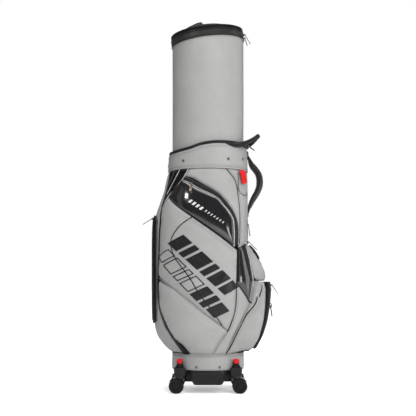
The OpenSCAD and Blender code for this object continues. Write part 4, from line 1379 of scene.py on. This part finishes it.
def hollow(loop, edge):
    """The loop with its own copy shrunk by edge millimetres as a hole."""
    q = np.array(loop)
    prev, following = np.roll(q, 1, 0), np.roll(q, -1, 0)
    u = (q - prev) / np.linalg.norm(q - prev, axis=1)[:, None]
    v = (following - q) / np.linalg.norm(following - q, axis=1)[:, None]
    turn = u[:, 0] * v[:, 1] - u[:, 1] * v[:, 0]
    return [loop, [tuple(k) for k in q + edge * (v - u) / np.abs(turn)[:, None]]]


def panel_marks():
    """Rows of slanted blocks where the photo has lettering; none of them is a letter."""
    row = slanted_blocks(seen((-104, 514), (84, 336)), (1.0, 0.55, 1.25, 0.55, 1.0, 0.8), (54,) * 6)
    decal("block_row_upper_near", [[loop] for loop in row], ink, 0.7, 0.5, True, 3.5)
    widths, heights = (0.8, 1.1, 0.55, 1.0, 0.8, 0.55, 1.0), (50, 54, 54, 56, 58, 58, 52)
    row = slanted_blocks(seen((-148, 470), (50, 258)), widths, heights)
    decal("block_outlines_near", [hollow(loop, 3.0) for loop in row[:4]], ink, 0.7, 0.5, True, 2.5)
    decal("block_row_lower_near", [[loop] for loop in row[4:]], ink, 0.7, 0.5, True, 3.5)
    row = slanted_blocks(seen((-58, 640), (-12, 608)), (0.6,) * 4, (12,) * 4, 0.3, 0.5)
    decal("small_blocks_near", [[loop] for loop in row], white_ink, 0.6, 0.4, True, 1.7)
    row = slanted_blocks(seen((-8, 606), (54, 563)), (0.3,) * 7, (8,) * 7, 0.3, 0.5)
    decal("small_bars_near", [[loop] for loop in row], pale_ink, 0.6, 0.4, True, 1.5)


LEFT_BAND = 7.0     # half the width of the black welt between the back and side panels


def trims():
    """The welts, pipings, zips and rows of stitches on the panels."""
    lower_left = between(LEFT_SEAM, 131, 640)
    band("left_welt_near", beside(lower_left, LEFT_BAND * 0.8), LEFT_BAND, 2.2, black_piping)
    piping("left_upper_welt_near", between(LEFT_SEAM, 640, 750), 1.6)
    triangle = seen((-105, 167), (-78, 131), (-58, 131), (-87, 163))
    decal("corner_patch_near", [[flat(triangle)]], black, 0.6, 1.2, True, 5)
    piping("front_welt_near", between(PIPING_1, 196, 492), 2.5)
    piping("ball_edge_welt_near", beside(between(BALL_EDGE, 134, 326), -3.5), 2.4)
    piping("wedge_lower_welt_near", V_LEFT, 2.0)
    wedge_side = between(WEDGE_RIGHT, 318, 498)
    piping("wedge_right_welt_near", wedge_side, 2.2)
    piping("wedge_light_welt_near", beside(wedge_side, -5.0), 0.9, pale_piping)
    piping("strip_left_welt_near", STRIP_LEFT, 1.9)
    piping("strip_right_welt_near", STRIP_RIGHT, 1.9)
    piping("strip_end_welt_near", seen((101, 489), (128, 507)), 1.8, pale_piping)
    piping("curved_welt_near", CURVED_LINE, 2.0, black_piping, 0.35)
    piping("pocket_lower_welt_near", POCKET_FOOT, 1.5)
    piping("pocket_left_welt_near", seen((-85, 712), (-134, 661)), 1.5)
    piping("pocket_light_welt_near", POCKET_TOP, 1.15, pale_piping, 0.2)
    piping("pocket_light_welt_inner_near", beside(POCKET_TOP, -4.6), 0.8, pale_piping, 0.2)
    piping("mesh_edge_near", MESH_EDGE[:-1], 1.5, pale_piping, 0.2)
    piping("mesh_line_near", seen((-93, 750), (-123, 697), (-140, 668)), 1.1, pale_piping, 0.2)
    piping("mesh_cord_near", seen((-110, 750), (-139, 690), (-153, 648)), 1.3, brown_piping, 0.2)
    zip_route = curve(seen((-80, 717), (-62, 709), (-24, 688), (27, 661), (53, 637), (76, 608), (89, 582),
                           (95, 557), (96, 530), (95, 494)))
    band("side_zip_bed_near", zip_route, 6.6, 1.5, tape)
    zipper("side_zip_near", zip_route, half=5.0, rise=1.6)
    ball_route = [(-15.4, z) for z in np.arange(372, 166, -8.0)]
    ball_route += [(-15.2, 160), (-13, 150.5), (-8, 147), (0, 146)]
    zipper("ball_zip_near", ball_route, half=5.5, rise=1.2)
    piping("ball_gusset_welt_near", [(-20.5, 372), (-20.5, 170), (-21, 156), (-24, 146.5), (-34, 139)], 1.7)
    piping("ball_front_welt_near", [(-10.4, 372), (-10.4, 172), (-9, 155), (0, 150)], 1.5)
    zipper("ball_top_zip", [(a, 362) for a in np.arange(-10, 10.1, 1.5)], False, 5.0)
    zipper("garment_zip_line", [(180, z) for z in np.arange(596, 238, -8.0)], False, 5.0)
    around = [(-163.8, z) for z in np.arange(250, 582, 8.0)]
    door = [(-170, 234), (-165, 238)] + around + [(-165, 594), (-170, 598)]
    door = door + round_back(door)
    piping("garment_door_welt", door, 2.6, black_piping, 0.2, False, True)
    band("garment_door_gusset", [(-161.3, z) for z in np.arange(240, 592, 8.0)], 3.4, 1.2, tape)
    zipper("upper_zip_line", [(a, 508) for a in np.arange(-22, 22.1, 2)], False, 4.5)
    zipper("right_zip_line", [(-14, z) for z in np.arange(586, 516, -6.0)], False, 4.0)
    rows = [[(a, z - drop) for a, z in seen((-128, 655), (-26, 573), (84, 490))] for drop in (15, 20)]
    rows += [[(a, z + d) for a, z in DIAGONAL[1:-1]] for d in (-3.6, 4.5)]
    rows += [beside(between(PIPING_1, 212, 488), 7), beside(between(PIPING_1, 212, 360), -7)]
    rows += [beside(between(LEFT_SEAM, 180, 600), 8), beside(LOWER_SEAM, 3.5), beside(LOWER_SEAM, -3.5)]
    rows += [beside(PIPING_2, 7), beside(BALL_EDGE, -8), beside(BALL_EDGE, -12)]
    rows += [beside(ZIP_OUTER[4:-3], 4.0), beside(ZIP_OUTER[4:-3], 7.5)]
    rows += [beside(STRIP_LEFT, -5.5), beside(STRIP_LEFT, 6.0), beside(STRIP_RIGHT, 5.5)]
    rows += [[(-22.2, z) for z in range(156, 366, 3)], [(-8.8, z) for z in range(166, 352, 3)]]
    stitches("panel_thread_near", rows, grey_thread)
    stitches("curved_line_thread_near", [beside(CURVED_LINE, 4.0)], grey_thread)
    stitches("patent_thread_near", [beside(V_LEFT, 4), beside(POCKET_TOP, -9)], black_thread)
    piping("diagonal_fold_near", DIAGONAL[:-1], 1.3, grey_smooth, 0.35)
    piping("seam_fold_near", LOWER_SEAM, 1.5, grey_smooth, 0.4)


def flap():
    """The small corner flap over the upper pocket, lined in black, with a cord along its edge."""
    across = np.linspace(-28, 28, 15)
    down = np.linspace(0, 1, 10)
    verts = []
    for side in (0, 1):
        for t in down:
            for y in across:
                x = 146 + 31 * t - 0.006 * y * y * (1 - 0.4 * t) + 2.0 * math.sin(math.pi * t)
                z = 499 - 41 * t ** 1.15 - 6 * t * abs(y / 28) ** 2
                verts.append((x - side * 2.0, y * (1 - 0.12 * t), z - side * 2.0))
    n, m = len(across), len(down)
    obj = outward(piece("upper_pocket_flap", *slab(verts[:n * m], verts[n * m:], m, n), black))
    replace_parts(obj, "upper_flap")
    border = [i * n for i in range(m - 1)] + [(m - 1) * n + k for k in range(n)]
    border += [i * n + n - 1 for i in range(m - 2, -1, -1)]
    edge = np.array([verts[i] for i in border]) + [-0.8, 0, -0.8]
    piece("upper_pocket_flap_edge", *loft(edge, [(0.75, 0, 0.65)] * len(edge), 1.5, 1.8, 8), black_piping)


PIN_OUT = 5.0       # from the surface to a slider's pin


def hardware():
    """The sliders of the bag's zips."""
    side_z = 696
    slider_body("side_slider_near", -113, side_z, float(bag_r(-113, side_z)), PIN_OUT, mirror=True)
    slider_body("garment_slider", 180, 590, float(door_r(180, 590)), PIN_OUT)
    slider_body("upper_slider", 0, 510, float(bag_r(0, 510)), PIN_OUT)
    slider_body("right_slider", -14, 568, float(bag_r(-14, 568)), PIN_OUT)
    slider_body("ball_slider", 0, 362, float(ball_r(0, 362)), PIN_OUT)


def finish_nodes():
    """Materials for the frame's own nodes."""
    looks = {"chassis": socket, "bottom_grips": socket, "caster_posts": socket, "base_cup": moulded,
             "hood_stop_ring": moulded, "divider_top": moulded, "hood_foot_ring": moulded,
             "chassis_screws": bronze, "rivets": bronze, "towel_ring": bronze, "outer_tube": board,
             "core_tube": board, "divider_webs": board, "ring_loop": black}
    for name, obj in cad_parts.items():
        if name.startswith("fork"):
            looks[name] = socket
        elif name.startswith("wheel"):
            looks[name] = rubber
        elif "pull" in name:
            looks[name] = bronze
        elif name.startswith("brake"):
            looks[name] = red_gloss
        if name in looks:
            obj.data.materials.clear()
            obj.data.materials.append(looks[name])
            for poly in obj.data.polygons:
                poly.material_index = 0


# ---- build ----

near = side_panels()
wraps = wrap_panels()
ball_wall = ball_walls()
lining()
cap = sleeve()
carry_handle()
swell()
for obj in near.values():
    far_copy(obj)
far_copy(wraps["ball_side_near"])
far_copy(ball_wall)
cuff_obj = cuff()
collar_obj = base()
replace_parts(near["side_panel_near"], "side_pocket_near")
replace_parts(bpy.data.objects["side_panel_far"], "side_pocket_far")
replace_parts(wraps["garment_panel"], "garment_pocket")
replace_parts(wraps["garment_door_face"], "garment_door")
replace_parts(wraps["ball_front"], "ball_pocket")
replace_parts(wraps["upper_pocket_panel"], "upper_pocket")
cover(list(near.values()) + list(wraps.values()) + [cap, cuff_obj, collar_obj])
trims()
panel_marks()
sleeve_trims()
cuff_trims()
base_trims()
rim()
red_tab()
flap()
hood()
lid()
hardware()
for key, trim in (("side_zips", "side_zip_near_tape"), ("garment_zip", "garment_zip_line_tape"),
                  ("upper_zip", "upper_zip_line_tape"), ("ball_zip", "ball_top_zip_tape")):
    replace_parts(bpy.data.objects[trim], key)
finish_nodes()

# ---- floor, light and camera ----

WORLD_LIGHT = 0.2     # the white room, as light on the object
GLOSSY_LIGHT = 0.12   # the same room in reflections
FLOOR_GLOW = 0.36     # how white the floor looks close to the object
CAMERA_AT = (0, -3.189, 0.352)
PICTURE_SHIFT = 5 / 26        # share of the picture's width
# name, place, (width, height), watts
LAMPS = [
    ("sheen_low_right", (2.2, -1.7, 0.4), (0.7, 0.9), 12),
    ("sheen_high_left", (-1.6, -1.7, 1.75), (0.35, 0.25), 5),
    ("key_front_right", (1.1, -3.1, 1.8), (1.8, 2.2), 90),
    ("fill_left", (-2.8, -1.2, 1.3), (0.9, 2.2), 2),
    ("back", (0.3, 3.4, 1.6), (2.0, 2.2), 42),
    ("rim_right", (2.4, 0.2, 1.0), (0.8, 2.4), 9),
    ("top", (0.0, -0.6, 3.4), (3.0, 3.0), 90)]


def white_room():
    """An even white background, which lights the object only a little."""
    world = bpy.data.worlds.new("studio")
    bpy.context.scene.world = world
    world.use_nodes = True
    tree = world.node_tree
    back = tree.nodes["Background"]
    back.inputs["Color"].default_value = (1, 1, 1, 1)
    ray = tree.nodes.new("ShaderNodeLightPath").outputs
    dimmed = ramp(tree, ray["Is Glossy Ray"], 0, 1, WORLD_LIGHT, GLOSSY_LIGHT)
    strength = node(tree, "Math", {0: dimmed, 1: ray["Is Camera Ray"]}, operation="MAXIMUM").outputs[0]
    tree.links.new(strength, back.inputs["Strength"])


def white_floor():
    """A pale matt floor, which the camera sees grow white away from the object."""
    mesh = bpy.data.meshes.new("floor")
    mesh.from_pydata([(-60, -20, 0), (60, -20, 0), (60, 120, 0), (-60, 120, 0)], [], [[0, 1, 2, 3]])
    mat = bpy.data.materials.new("studio_floor")
    mat.use_nodes = True
    tree = mat.node_tree
    bsdf = tree.nodes["Principled BSDF"]
    bsdf.inputs["Specular IOR Level"].default_value = 0.0
    bsdf.inputs["Roughness"].default_value = 0.9
    place = tree.nodes.new("ShaderNodeTexCoord").outputs["Object"]
    paint = two_tone(tree, noise(tree, place, 3.0), (0.93, 0.93, 0.93, 1), (0.95, 0.95, 0.95, 1))
    tree.links.new(paint, bsdf.inputs["Base Color"])
    away = node(tree, "VectorMath", {0: place}, operation="LENGTH").outputs["Value"]
    camera_ray = tree.nodes.new("ShaderNodeLightPath").outputs["Is Camera Ray"]
    glow = ramp(tree, away, 0.3, 1.6, FLOOR_GLOW, 1.0)
    seen_glow = node(tree, "Math", {0: glow, 1: camera_ray}, operation="MULTIPLY").outputs[0]
    bsdf.inputs["Emission Color"].default_value = (1, 1, 1, 1)
    tree.links.new(seen_glow, bsdf.inputs["Emission Strength"])
    mesh.materials.append(mat)
    floor = bpy.data.objects.new("floor", mesh)
    bpy.context.scene.collection.objects.link(floor)


def soft_boxes():
    """The lamps, all aimed at the bag's middle and unseen by the camera."""
    aim = Vector((0, 0, 0.6))
    for name, place, size, watts in LAMPS:
        lamp = bpy.data.lights.new(name, "AREA")
        lamp.shape = "RECTANGLE"
        lamp.size, lamp.size_y = size
        lamp.energy = watts
        obj = bpy.data.objects.new(name, lamp)
        obj.location = place
        obj.rotation_euler = (aim - Vector(place)).to_track_quat("-Z", "Y").to_euler()
        bpy.context.scene.collection.objects.link(obj)
        obj.visible_camera = False
        obj.visible_glossy = not name.startswith("key")


def photo_camera():
    """The camera level with the bag's lower part, its picture shifted up to take in the lid."""
    camera = bpy.data.cameras.new("camera")
    camera.sensor_width = 36
    camera.lens = 80
    camera.shift_y = PICTURE_SHIFT
    camera.clip_end = 500
    view = bpy.data.objects.new("camera", camera)
    view.location = CAMERA_AT
    view.rotation_euler = (math.pi / 2, 0, 0)
    bpy.context.scene.collection.objects.link(view)
    bpy.context.scene.camera = view


bpy.context.scene.view_settings.view_transform = "Standard"
white_room()
white_floor()
soft_boxes()
photo_camera()
